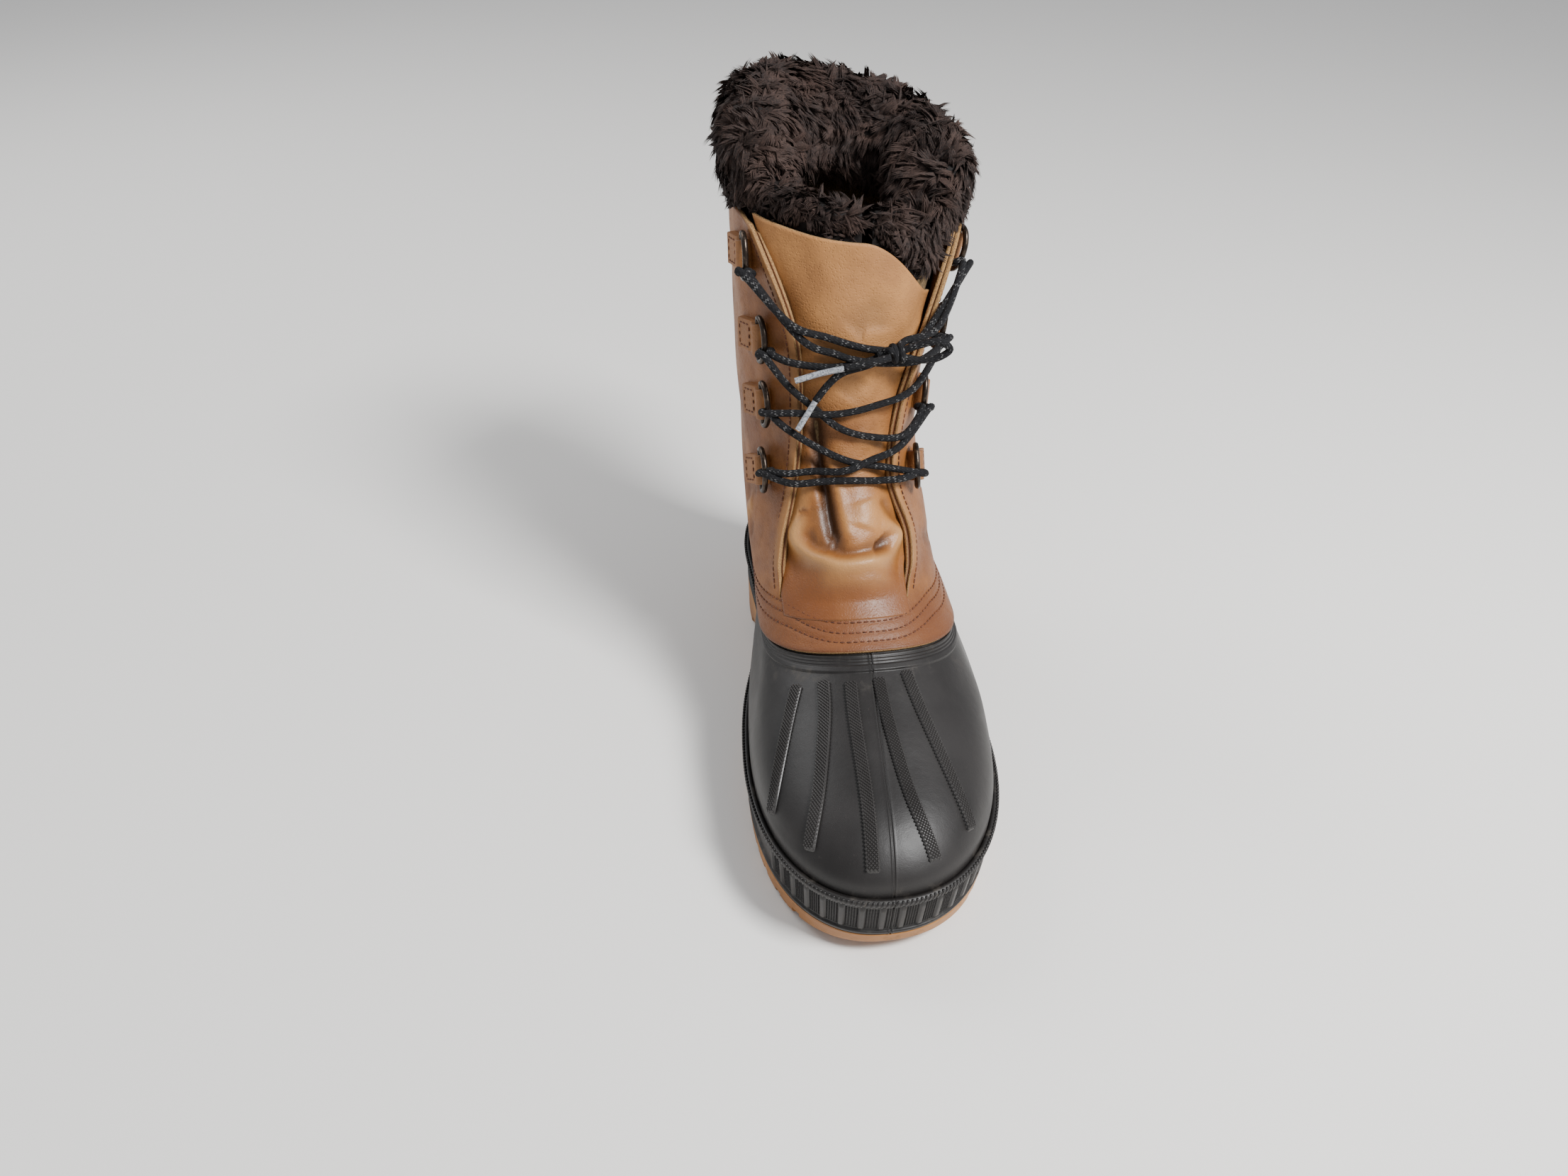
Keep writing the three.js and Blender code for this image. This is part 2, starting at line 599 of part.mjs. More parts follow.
// Pile cuff: a thick roll over the liner's top edge, with locks of pile fused on its outside. At the
// front it is low and lies behind the tongue.
function pileCuff() {
  const loops = columns.map((u) => {
    const section = cuffSection(u).map(([v, offset]) => offPoint(v, u, offset));
    for (const p of [section[0], section.at(-1)]) p.z = linerTopZ(p) + seatGap;
    return section;
  });
  const roll = loft(loops, true);
  const rows = [
    { share: 0.35, shift: 0 },
    { share: 0.85, shift: 0.5 },
  ];
  const locks = rows.flatMap(({ share, shift }) =>
    steps(-1, 1, locksPerRow)
      .slice(1)
      .map((t) => t + shift / locksPerRow)
      .filter((u) => Math.abs(u) > 0.36)
      .map((u) => lock(u, share)),
  );
  return locks.reduce((body, one) => body.add(one), roll).subtract(frontSlit());
}

// How far a place is from the front zone where the cuff lies behind the tongue, from 0 to 1.
function cuffRise(u) {
  return ramp(0.3, 0.44, Math.abs(u));
}

// The cuff's section at a place, as a list of [level, offset].
function cuffSection(u) {
  const rise = cuffRise(u);
  const mix = (front, side) => front + (side - front) * rise;
  const back = ramp(0.6, 0.95, Math.abs(u));
  const reach = mix(-17, -34) - 4 * back;
  const ridge = mix(12.5, level.ridge);
  const out = mix(-3.9, 2.5);
  const seat = linerTop - frontFall(u);
  return [
    [seat, linerOutTop], [mix(seat + 0.1, 12.09), mix(out, 2)], [mix(12.2, 12.7), out + mix(0, 1)],
    [ridge - mix(0.06, 0.16), mix(-5, 0)], [ridge, mix(-8, -7)], [ridge, mix(-12, -18)],
    [ridge - mix(0.06, 0.18), reach * 0.8], [ridge - mix(0.3, 0.5), reach], [mix(11.7, 12.1), reach],
    [mix(11.55, 11.9), mix(-15.5, -23)], [seat, linerOutTop - feltWall - 1],
  ];
}

// A lock of pile on the cuff's outside: a blunt tuft that leans down and out.
function lock(u, share) {
  const [, from, , to] = cuffSection(u);
  const v = from[0] + (to[0] - from[0]) * share;
  const normal = lastNormal(v, u);
  const root = offPoint(v, u, from[1] + (to[1] - from[1]) * share ** 2 - lockRadius * 0.8);
  const lie = normal.clone().add(new THREE.Vector3(0, 0, share - 0.75)).normalize();
  const cone = new THREE.ConeGeometry(lockRadius, lockLength, 4);
  cone.translate(0, lockLength / 2, 0);
  cone.applyQuaternion(new THREE.Quaternion().setFromUnitVectors(new THREE.Vector3(0, 1, 0), lie));
  return solidOf(cone.translate(root.x, root.y, root.z));
}

// Levels of the four rings, the lowest first
const ringLevels = [8.98, 9.98, 10.8, 11.62];
const topRingSetback = 16.5; // the highest ring sits closer to the edge
const sides = { inner: -1, outer: 1 };

// The frame of one ring: its bar's middle, the way up, the way to the throat and the way out.
function ringFrame(side, v) {
  const u = walk(v, throatEdge(v, side), v === ringLevels.at(-1) ? topRingSetback : ringSetback);
  const out = lastNormal(v, u);
  const up = offPoint(v + 0.15, u, 0).sub(offPoint(v - 0.15, u, 0)).normalize();
  const forward = up.clone().cross(out).multiplyScalar(-side).normalize();
  const lift = clearance + leatherWall + clearance + tabLayer + clearance + ringWire / 2;
  return { side, up, out, forward, lift, middle: offPoint(v, u, lift) };
}

function framePoint({ middle, up, forward, out }, alongUp, alongForward, alongOut) {
  return middle.clone().addScaledVector(up, alongUp).addScaledVector(forward, alongForward).addScaledVector(out, alongOut);
}

// The frame with its front swung off the leather, for the ring itself.
function swungFrame(side, v) {
  const frame = ringFrame(side, v);
  const forward = frame.forward.clone().multiplyScalar(Math.cos(ringTilt)).addScaledVector(frame.out, Math.sin(ringTilt));
  const out = frame.out.clone().multiplyScalar(Math.cos(ringTilt)).addScaledVector(frame.forward, -Math.sin(ringTilt));
  return { ...frame, forward, out };
}

// D-ring: a closed wire with a straight bar and a round front.
function dRing(side, v) {
  const frame = swungFrame(side, v);
  const half = (ringHeight - ringWire) / 2;
  const reach = ringDepth - ringWire;
  const arc = steps(0, 1, 5).map((t) => [half * Math.cos(Math.PI * t), 1.5 + (reach - 1.5) * Math.sin(Math.PI * t)]);
  const path = [...arc, [-half * 0.96, 0], [half * 0.96, 0]];
  const centre = path.map(([a, b]) => framePoint(frame, a, b, 0));
  const loops = centre.map((p, i) => {
    const next = centre[(i + 1) % centre.length];
    const tangent = next.clone().sub(centre[(i + centre.length - 1) % centre.length]).normalize();
    const across = frame.out.clone().cross(tangent).normalize();
    return Array.from({ length: 6 }, (_, k) => {
      const turn = (k * Math.PI) / 3;
      const spread = Math.cos(turn) * (ringWire / 2);
      return p.clone().addScaledVector(frame.out, Math.sin(turn) * (ringWire / 2)).addScaledVector(across, spread);
    });
  });
  return loft(loops, true);
}

// Leather tab: a strap folded round the ring's bar and sewn down behind it, cut to the shaft's surface.
function ringTab(side, v, underneath) {
  const frame = ringFrame(side, v);
  const bore = ringWire / 2 + clearance;
  const fold = bore + tabLayer;
  const seat = -frame.lift;
  const tail = clearance * 2 + leatherWall + 2 * tabLayer + 0.4;
  const drop = (back) => (back * back) / ballWidth; // the strap follows the round of the shaft
  const outline = [
    [fold, -fold * 0.35], [fold, fold * 0.35], [fold * 0.4, fold * 0.92], [-fold * 0.5, fold * 0.9],
    [-fold * 1.5, seat + tail - drop(fold * 1.5)], [-tabLength, seat + tail - drop(tabLength)],
    [-tabLength, seat - drop(tabLength)], [0, seat], [fold * 0.5, -fold],
  ];
  const shape = new THREE.Shape(outline.map(([b, c]) => new THREE.Vector2(b, c)));
  const reach = bore / Math.cos(Math.PI / 6);
  const centre = new THREE.Vector2();
  const hole = Array.from({ length: 6 }, (_, k) => new THREE.Vector2(reach, 0).rotateAround(centre, (k * Math.PI) / 3));
  shape.holes.push(new THREE.Path(hole));
  const strap = new THREE.ExtrudeGeometry(shape, { depth: tabHeight, bevelEnabled: false }).translate(0, 0, -tabHeight / 2);
  const up = frame.forward.clone().cross(frame.out);
  const place = new THREE.Matrix4().makeBasis(frame.forward, frame.out, up).setPosition(frame.middle);
  return solidOf(strap.applyMatrix4(place)).subtract(underneath);
}

// A round cord along points, with square ends.
function cord(points, diameter, stepsAlong) {
  const path = new THREE.CatmullRomCurve3(points.map((p) => (p.isVector3 ? p : new THREE.Vector3(...p))), false, "centripetal");
  const shape = new THREE.Shape(
    Array.from({ length: 8 }, (_, k) => {
      const turn = (k * Math.PI) / 4;
      return new THREE.Vector2((diameter / 2) * Math.cos(turn), (diameter / 2) * Math.sin(turn));
    }),
  );
  return solidOf(new THREE.ExtrudeGeometry(shape, { steps: stepsAlong, bevelEnabled: false, extrudePath: path }));
}

// Where the lace leaves a ring: just in front of its bend, and so far below its middle.
function ringExit(side, index, drop) {
  const reach = ringDepth - ringWire / 2 + laceDiameter / 2 + clearance;
  return framePoint(swungFrame(side, ringLevels[index]), -drop, reach, 0);
}

// A point over the tongue or the quarters: its level, its share of half the ball width to the side, and
// how far above the lowest strand it lies.
function overFront([v, aside, above = 0]) {
  const side = aside < 0 ? -1 : 1;
  const u = placeAt(v, side, Math.abs(aside) * halfBall);
  const row = tongueAt(v);
  const share = Math.min(Math.abs(aside) / (side < 0 ? row.inner : row.outer), 1);
  const edge = Math.abs(throatEdge(v, side));
  const onLeather = ramp(0.7 * edge, 0.95 * edge, Math.abs(u));
  const surface = tongueOff(v, share) * (1 - onLeather) + (clearance + leatherWall + flare(v, u)) * onLeather;
  return offPoint(v, u, surface + laceSlack + laceDiameter / 2 + above);
}

// The lace's strands from ring to ring, the lowest first, as they lie in the photographed boot.
// Ends name a side, a ring and how far below its middle the strand leaves it; via is for overFront.
const strands = [
  { from: ["inner", 0, 1], to: ["outer", 0, 3], via: [[9.0, -0.36, 2.6], [9.08, -0.17], [9.09, 0.01], [9.04, 0.2], [9.0, 0.34, 2.3]] },
  { from: ["inner", 0, 0], to: ["outer", 1, 5], via: [[9.15, -0.38, 2.6], [9.22, -0.25, 0.5], [9.25, -0.04, 1.2], [9.38, 0.15, 1.6], [9.52, 0.34, 2]] },
  { from: ["outer", 0, 3], to: ["inner", 1, 4], via: [[9.22, 0.27, 0.5], [9.38, 0.01], [9.57, -0.21, 0.5], [9.8, -0.38, 2]] },
  { from: ["inner", 1, 2], to: ["outer", 2, 5], via: [[10.04, -0.35, 1], [10.06, -0.1, 0.5], [10.14, 0.17, 1], [10.3, 0.42, 3.5]] },
  { from: ["outer", 1, 5], to: ["inner", 2, 5], via: [[9.66, 0.36, 2], [9.72, 0.15, 0.5], [9.87, -0.07, 0.5], [10.12, -0.25, 1], [10.4, -0.4, 2.5]] },
  { from: ["inner", 2, 4], to: ["outer", 3, 7], via: [[10.68, -0.4, 1], [10.66, -0.19, 0.5], [10.71, 0.01, 0.8], [10.79, 0.22, 1], [10.9, 0.48, 4]] },
  { from: ["outer", 2, 4], to: ["inner", 3, 7], via: [[10.64, 0.48, 3], [10.68, 0.25, 0.5], [10.76, 0.01, 0.8], [10.83, -0.13, 0.5], [10.98, -0.36, 2.5]] },
];
const ties = [
  { from: ["inner", 3, 6], via: [[11.14, -0.42, 3], [11.02, -0.2], [10.92, 0.03, 0.6], [10.86, 0.2, 1.2], [10.84, 0.29, 1.2]] },
  { from: ["outer", 3, 6], via: [[11.02, 0.58, 4], [10.92, 0.38, 1.5], [10.84, 0.27, 1.2]] },
];

// The lace from the lowest bar up to the knot, its crossings joined.
function laceBody() {
  const exit = ([name, index, drop]) => ringExit(sides[name], index, drop);
  const across = strands.map(({ from, to, via }) => cord([exit(from), ...via.map(overFront), exit(to)], laceDiameter, 7));
  const tied = ties.map(({ from, via }) => cord([exit(from), ...via.map(overFront)], laceDiameter, 5));
  return [...across, ...tied].reduce((body, strand) => body.add(strand));
}

// The knot's place, and the free pieces of the lace that leave it.
const knotPlace = [10.84, 0.27, 6.6];
const knotSize = [5, 7, 9]; // across, front to back, up
const laceEnds = {
  upper: {
    cord: [[10.82, 0.2, 9], [10.78, 0.08, 9], [10.71, -0.07, 7.4]],
    aglet: [[10.7, -0.077, 7.2], [10.61, -0.215, 5.4], [10.49, -0.35, 4.4]],
  },
  lower: {
    cord: [[10.78, 0.2, 5], [10.71, 0.06, 5], [10.63, -0.08, 4.6], [10.48, -0.16, 3.8], [10.26, -0.23, 5]],
    aglet: [[10.24, -0.235, 5.2], [10.05, -0.275, 6.8], [9.85, -0.312, 6.4]],
  },
};
const loopReach = 24.6; // knot to the far side of the bow's loop
const loopShape = [ // across, to the front and up from the knot, as shares of loopReach
  [0.13, 0, 0.07], [0.43, 0.06, 0.2], [0.76, 0.1, 0.27], [1, 0.1, 0.09], [0.76, 0.08, -0.1], [0.43, 0.04, -0.14], [0.13, 0, -0.09],
];

function laceKnot() {
  const [width, depth, height] = knotSize;
  const ball = new THREE.SphereGeometry(0.5, 8, 6).scale(width, depth, height);
  const place = overFront(knotPlace);
  return solidOf(ball.translate(place.x, place.y, place.z));
}

function laceLoop() {
  const place = overFront(knotPlace);
  const points = loopShape.map(([across, front, up]) =>
    new THREE.Vector3(across, -front, up).multiplyScalar(loopReach).add(place),
  );
  return cord(points, laceDiameter, 9);
}

function meshOf(name, solid, material) {
  const { vertProperties, triVerts, numProp } = solid.getMesh();
  const count = vertProperties.length / numProp;
  const position = new Float32Array(count * 3);
  for (let i = 0; i < count; i++) position.set(vertProperties.subarray(i * numProp, i * numProp + 3), i * 3);
  const geometry = new THREE.BufferGeometry();
  geometry.setAttribute("position", new THREE.BufferAttribute(position, 3));
  geometry.setIndex(new THREE.BufferAttribute(triVerts, 1));
  const mesh = new THREE.Mesh(geometry, material);
  mesh.name = name;
  return mesh;
}

const boot = new THREE.Group();
boot.name = "pac_boot";
boot.add(
  meshOf("outsole", outsole(), materials.gum),
  meshOf("rubber_shell", rubberShell(), materials.rubber),
  meshOf("foxing_band", foxingBand(), materials.rubber),
  meshOf("leather_upper", leatherUpper(), materials.leather),
  meshOf("tongue", tongue(), materials.leather),
  meshOf("felt_liner", feltLiner(), materials.felt),
  meshOf("insole", insole(), materials.felt),
  meshOf("pile_cuff", pileCuff(), materials.pile),
  meshOf("lace", laceBody(), materials.lace),
  meshOf("lace_knot", laceKnot(), materials.lace),
  meshOf("lace_loop", laceLoop(), materials.lace),
);
for (const [name, end] of Object.entries(laceEnds)) {
  boot.add(meshOf(`lace_end_${name}`, cord(end.cord.map(overFront), laceDiameter, 5), materials.lace));
  boot.add(meshOf(`aglet_${name}`, cord(end.aglet.map(overFront), agletDiameter, 2), materials.aglet));
}
const shaftSkin = filledLast(columns, [6, ...shaftLevels], (v, u) => 2 * clearance + leatherWall + flare(v, u));
for (const [name, side] of Object.entries(sides)) {
  ringLevels.forEach((v, i) => {
    boot.add(meshOf(`d_ring_${name}_${i + 1}`, dRing(side, v), materials.metal));
    boot.add(meshOf(`ring_tab_${name}_${i + 1}`, ringTab(side, v, shaftSkin), materials.leather));
  });
}

export default boot;
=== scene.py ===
# %% [markdown]
# A left pac boot, dressed.
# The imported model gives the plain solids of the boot: a moulded rubber shell, a leather shaft, a tongue,
# a felt liner with a pile cuff, D-rings and a lace. This notebook keeps every one of those places and
# sizes, and makes the surfaces that a camera sees. The same form function that shaped the solids is
# written again here in numpy, so a stitch or a crease can be placed by a level up the boot and a place
# round it, and always lies on the leather.

import math

import bpy
import numpy as np
from mathutils import Matrix, Vector


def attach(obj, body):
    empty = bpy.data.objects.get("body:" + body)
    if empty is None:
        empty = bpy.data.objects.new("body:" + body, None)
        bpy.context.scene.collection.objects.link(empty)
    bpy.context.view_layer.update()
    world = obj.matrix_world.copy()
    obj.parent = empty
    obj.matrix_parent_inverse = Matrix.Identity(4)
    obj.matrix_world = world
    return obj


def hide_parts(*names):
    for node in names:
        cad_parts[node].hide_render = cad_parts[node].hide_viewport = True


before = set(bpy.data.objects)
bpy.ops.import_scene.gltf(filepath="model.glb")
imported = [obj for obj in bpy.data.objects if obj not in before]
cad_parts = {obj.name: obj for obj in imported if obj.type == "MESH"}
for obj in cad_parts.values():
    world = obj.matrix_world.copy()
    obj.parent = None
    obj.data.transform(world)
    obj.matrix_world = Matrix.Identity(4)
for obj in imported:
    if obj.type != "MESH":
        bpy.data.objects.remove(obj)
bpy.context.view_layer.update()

# %% [markdown]
# The sizes are those of the solids, in millimetres, because a bootmaker thinks in millimetres. They are
# turned into metres only when a mesh is made.

# %% Sizes
MM = 0.001
boot_length = 309.0
heel_back = 40.0
ball_width = 122.0
shaft_height = 252.0
in_swing = 11.0

clearance = 0.3
rubber_wall = 2.5
leather_wall = 2.2
felt_wall = 7.0
liner_ease = 0.4

forefoot_thickness = 9.0
heel_thickness = 28.0
toe_spring = 6.0
sole_edge_out = 3.2
lug_depth = 4.0
toe_sole_thickness = 7.0
groove_width = 5.0
groove_pitch = 15.0
heel_groove_pitch = 13.0
arch_rise = 6.0
heel_breast_y = -28.0
arch_front_y = -92.0

band_height = 24.0
band_wall = 2.6
bead_radius = 1.7
bars_each_side = 8
bar_pitch = 8.8
bar_width = 2.4

rib_width = 6.6
rib_raise = 1.7
collar_raise = 0.9

edge_flare = 3.2
flare_reach = 9.0
tongue_wall = 1.8
tongue_top = 12.1
tongue_fall = 0.9
bulge_unit = 24.0
backstay_width = 26.0
backstay_raise = 1.5

ring_wire = 3.0
ring_height = 24.0
ring_depth = 12.0
ring_tilt = 0.38
tab_height = 15.0
tab_length = 19.0
tab_layer = 1.7
ring_setback = 19.5
top_ring_setback = 16.5
lace_diameter = 3.6
aglet_diameter = 3.0
lace_slack = 1.0

half_ball = ball_width / 2
toe_y = heel_back - boot_length
deepest = 12.0
liner_top = 12.15
ridge_level = 13.2
waist_middle = 0.36
waist_reach = 0.16
liner_out = -rubber_wall - liner_ease
print("toe at", toe_y, "mm")

# %% [markdown]
# The camera stands where the photographer's did. Its place and angle were fitted to the boot's outline,
# its rings and its laces. The picture's size is a named value, because Blender's own render size isn't
# the photograph's.

# %% The camera
photo_width = 2212
focal_pixels = 1665
camera_place = (-117.1, -581.2, 464.0)
camera_azimuth = math.radians(-9.5)
camera_elevation = math.radians(38.0)
camera_roll = math.radians(2.1)


def camera_matrix():
    """The camera's axes from its azimuth, elevation and roll, at its place."""
    level = math.cos(camera_elevation)
    back = Vector((
        math.sin(camera_azimuth) * level, -math.cos(camera_azimuth) * level, math.sin(camera_elevation)
    ))
    right = Vector((math.cos(camera_azimuth), math.sin(camera_azimuth), 0))
    up = back.cross(right)
    rolled = right * math.cos(camera_roll) + up * math.sin(camera_roll)
    rolled_up = up * math.cos(camera_roll) - right * math.sin(camera_roll)
    turned = Matrix((rolled, rolled_up, back)).transposed().to_4x4()
    return Matrix.Translation(Vector(camera_place) * MM) @ turned


camera_data = bpy.data.cameras.new("photo_camera")
camera_data.sensor_width = 36
camera_data.lens = camera_data.sensor_width * focal_pixels / photo_width
camera_data.clip_start = 0.01
camera = bpy.data.objects.new("photo_camera", camera_data)
camera.matrix_world = camera_matrix()
bpy.context.scene.collection.objects.link(camera)
bpy.context.scene.camera = camera
print("lens", round(camera_data.lens, 2), "mm")

# %% [markdown]
# The form of the boot is a table with a row for each level, from the shell's bottom edge up to the top of
# the cuff. Between rows every column follows a smooth curve. A place on the boot is then a pair: the
# level v, and u, which goes round it from 0 at the front to 1 at the back on the outer side and to -1 on
# the inner side. The functions take arrays, so one call gives thousands of points.

# %% The form of the last
last_names = ["front", "back", "front_z", "back_z", "inner", "outer", "widest", "n_front", "n_back",
              "waist_in", "waist_out", "follow", "droop", "lean", "aside"]
last_rows = [
    [0.994, 0.006, 0.000, 0.000, 0.93, 0.97, 0.67, 2.25, 2.6, 0.22, 0.12, 1.00, 0.000, 0, 0],
    [1.000, 0.000, 0.099, 0.087, 0.97, 1.01, 0.67, 2.25, 2.6, 0.21, 0.11, 1.00, 0.000, 0, 0],
    [0.980, -0.001, 0.151, 0.130, 0.97, 1.02, 0.68, 2.20, 2.6, 0.19, 0.10, 1.00, 0.024, 0, 0],
    [0.922, 0.000, 0.198, 0.165, 0.95, 1.01, 0.71, 2.15, 2.5, 0.17, 0.09, 1.00, 0.044, 0, 0],
    [0.825, 0.003, 0.249, 0.220, 0.90, 0.98, 0.76, 2.10, 2.5, 0.15, 0.07, 0.75, 0.056, 0, 0],
    [0.731, 0.007, 0.292, 0.270, 0.84, 0.91, 0.78, 2.05, 2.4, 0.11, 0.05, 0.50, 0.060, 0, 0],
    [0.647, 0.010, 0.334, 0.330, 0.79, 0.83, 0.76, 2.05, 2.3, 0.07, 0.03, 0.25, 0.058, 0, 0],
    [0.576, 0.010, 0.393, 0.398, 0.76, 0.75, 0.71, 2.05, 2.2, 0.03, 0.01, 0.00, 0.050, 0, -0.03],
    [0.502, 0.008, 0.468, 0.462, 0.73, 0.75, 0.62, 2.10, 2.1, 0.01, 0.00, 0.00, 0.030, 0, -0.07],
    [0.443, 0.002, 0.567, 0.552, 0.70, 0.72, 0.54, 2.15, 2.1, 0.00, 0.00, 0.00, 0.012, 0, -0.09],
    [0.401, -0.010, 0.694, 0.680, 0.73, 0.74, 0.50, 2.20, 2.1, 0.00, 0.00, 0.00, 0.000, 0, -0.09],
    [0.369, -0.027, 0.841, 0.840, 0.80, 0.81, 0.50, 2.20, 2.1, 0.00, 0.00, 0.00, 0.000, 0.006, -0.05],
    [0.343, -0.048, 1.000, 1.022, 0.87, 0.91, 0.50, 2.20, 2.1, 0.00, 0.00, 0.00, 0.000, 0.018, 0],
    [0.328, -0.060, 1.120, 1.160, 0.92, 0.98, 0.50, 2.20, 2.1, 0.00, 0.00, 0.00, 0.000, 0.034, 0],
]
throat_rows = [
    [7, 0.61, 0.38], [8, 0.50, 0.46], [9, 0.39, 0.34], [10, 0.35, 0.41], [11, 0.43, 0.63], [12, 0.74, 0.88]
]
tongue_rows = [
    [7.04, 0.595, 0.37, 0], [7.5, 0.56, 0.405, 0.271], [8, 0.58, 0.52, 0.375], [8.5, 0.56, 0.50, 0.3125],
    [9, 0.52, 0.49, 0.1875], [10, 0.50, 0.55, 0.125], [11, 0.56, 0.64, 0.1667], [12.1, 0.76, 0.72, 0.208],
]


def smooth(a, b, c, d, t):
    """The value between b and c at t, on a smooth curve through a, b, c and d."""
    slope_b = (c - a) / 2
    slope_c = (d - b) / 2
    return ((2 * t**3 - 3 * t**2 + 1) * b + (t**3 - 2 * t**2 + t) * slope_b
            + (-2 * t**3 + 3 * t**2) * c + (t**3 - t**2) * slope_c)


def reader(rows, names, keys=None):
    """A function that reads a table's columns at any level, on smooth curves between its rows."""
    table = np.array(rows, dtype=float)
    before = 2 * table[0] - table[1]
    after = 2 * table[-1] - table[-2]
    padded = np.vstack([before, table, after])
    keys = np.arange(len(table), dtype=float) if keys is None else np.array(keys, dtype=float)
    last = len(table) - 1

    def read(v):
        v = np.asarray(v, dtype=float)
        i = np.clip(np.searchsorted(keys, v, side="left") - 1, 0, last - 1)
        t = (v - keys[i]) / (keys[i + 1] - keys[i])
        inside = np.clip(t, 0, 1)[..., None]
        value = smooth(padded[i], padded[i + 1], padded[i + 2], padded[i + 3], inside)
        past = np.clip(t - 1, 0, None)[..., None]
        value = value + past * (table[-1] - table[-2])
        return {name: value[..., k] for k, name in enumerate(names)}

    return read


def table_reader(rows, names):
    """A reader for a table whose first column is the level."""
    return reader([row[1:] for row in rows], names, [row[0] for row in rows])


last_at = reader(last_rows, last_names)
throat_at = table_reader(throat_rows, ["inner", "outer"])
tongue_at = table_reader(tongue_rows, ["inner", "outer", "bulge"])


def ramp(low, high, x):
    t = np.clip((np.asarray(x, dtype=float) - low) / (high - low), 0, 1)
    return t * t * (3 - 2 * t)


def feather_z(y):
    """Height of the shell's bottom edge along the boot."""
    spring_from = toe_y * 0.56
    spring = toe_spring * (np.clip(spring_from - y, 0, None) / (spring_from - toe_y)) ** 2
    heel_rise = (heel_thickness - forefoot_thickness) * ramp(toe_y * 0.42, toe_y * 0.1, y)
    return forefoot_thickness + spring + heel_rise


def tread_z(y):
    """Height of the outsole's underside along the boot."""
    toe = feather_z(toe_y) - toe_sole_thickness
    spring_from = toe_y * 0.8
    spring = toe * (np.clip(spring_from - y, 0, None) / (spring_from - toe_y)) ** 2
    return spring + arch_rise * ramp(arch_front_y, arch_front_y + 24, y) * (y < heel_breast_y)


def swing_x(y):
    """Sideways shift of the boot's middle line, towards the inner side at the toe."""
    swing_from = toe_y * 0.3
    share = np.clip((np.asarray(y, dtype=float) - swing_from) / (toe_y - swing_from), 0, 1.1)
    return -in_swing * share**1.5


def last_point(v, u):
    """A point of the last in millimetres, as an array with x, y and z in its last axis."""
    v, u = np.broadcast_arrays(np.asarray(v, dtype=float), np.asarray(u, dtype=float))
    row = last_at(v)
    place = u - 2 * np.round(u / 2)
    cos = np.cos(math.pi * np.abs(place))
    sin = np.clip(np.sin(math.pi * np.abs(place)), 0, None)
    sign = np.sign(place)
    side = np.where(place < 0, row["inner"], row["outer"])
    waist = np.where(place < 0, row["waist_in"], row["waist_out"])
    n = np.where(cos > 0, row["n_front"], row["n_back"])
    reach = np.abs(cos) ** (2 / n)
    widest = row["widest"]
    along = np.where(cos > 0, widest + (1 - widest) * reach, widest * (1 - reach))
    hollow = waist * np.exp(-(((along - waist_middle) / waist_reach) ** 2))
    wide = side * sin ** (2 / n)
    half = half_ball * (wide - hollow * np.minimum(1, sin * 1.5))
    front_y = heel_back - row["front"] * boot_length
    back_y = heel_back - row["back"] * boot_length
    y = back_y + (front_y - back_y) * along
    height = shaft_height * (row["back_z"] + (row["front_z"] - row["back_z"]) * along)
    sag = shaft_height * (row["droop"] * (wide / side) ** 2 + sign * row["lean"] * wide)
    x = swing_x(y) + half_ball * row["aside"] + sign * half
    return np.stack([x, y, height - sag + row["follow"] * feather_z(y)], axis=-1)


def unit(vectors):
    return vectors / np.maximum(np.linalg.norm(vectors, axis=-1, keepdims=True), 1e-9)


def gone_along(points):
    """Millimetres along a line of points, from its start to each of them."""
    return np.concatenate([[0], np.cumsum(np.linalg.norm(np.diff(points, axis=0), axis=1))])


def last_normal(v, u):
    """The way out of the last."""
    step = 0.004
    along = last_point(v, np.asarray(u) + step) - last_point(v, np.asarray(u) - step)
    up = last_point(np.asarray(v) + step * 5, u) - last_point(np.asarray(v) - step * 5, u)
    return unit(np.cross(along, up))


def off_point(v, u, offset):
    """A point off the last. Far inside, the rest of the way goes towards the row's middle."""
    v, u, offset = np.broadcast_arrays(np.asarray(v, float), np.asarray(u, float), np.asarray(offset, float))
    near = np.maximum(offset, -deepest)
    p = last_point(v, u) + last_normal(v, u) * near[..., None]
    middle = (last_point(v, 0 * u) + last_point(v, 0 * u + 1)) / 2
    middle[..., 2] = p[..., 2]
    share = ((near - offset) / (half_ball - deepest))[..., None]
    return p + (middle - p) * share


def place_at(v, aside):
    """The place round the last that lies a share of half the ball width to the side of its front ridge."""
    row = last_at(v)
    half = np.where(np.asarray(aside) < 0, row["inner"], row["outer"])
    share = np.minimum(np.abs(aside) / half, 0.995)
    return np.sign(aside) * np.arcsin(share ** (row["n_front"] / 2)) / math.pi


def walk(v, start, length):
    """The place a given length round the last from another, away from the front."""
    side = 1 if start >= 0 else -1
    u = start + side * np.linspace(0, 1, 700) * 0.7
    gone = gone_along(last_point(v, u))
    return float(np.interp(length, gone, u))


def throat_edge(v, side):
    """The place of the throat's edge on one side."""
    row = throat_at(np.clip(v, 7, 12))
    return place_at(v, side * (row["inner"] if side < 0 else row["outer"]))


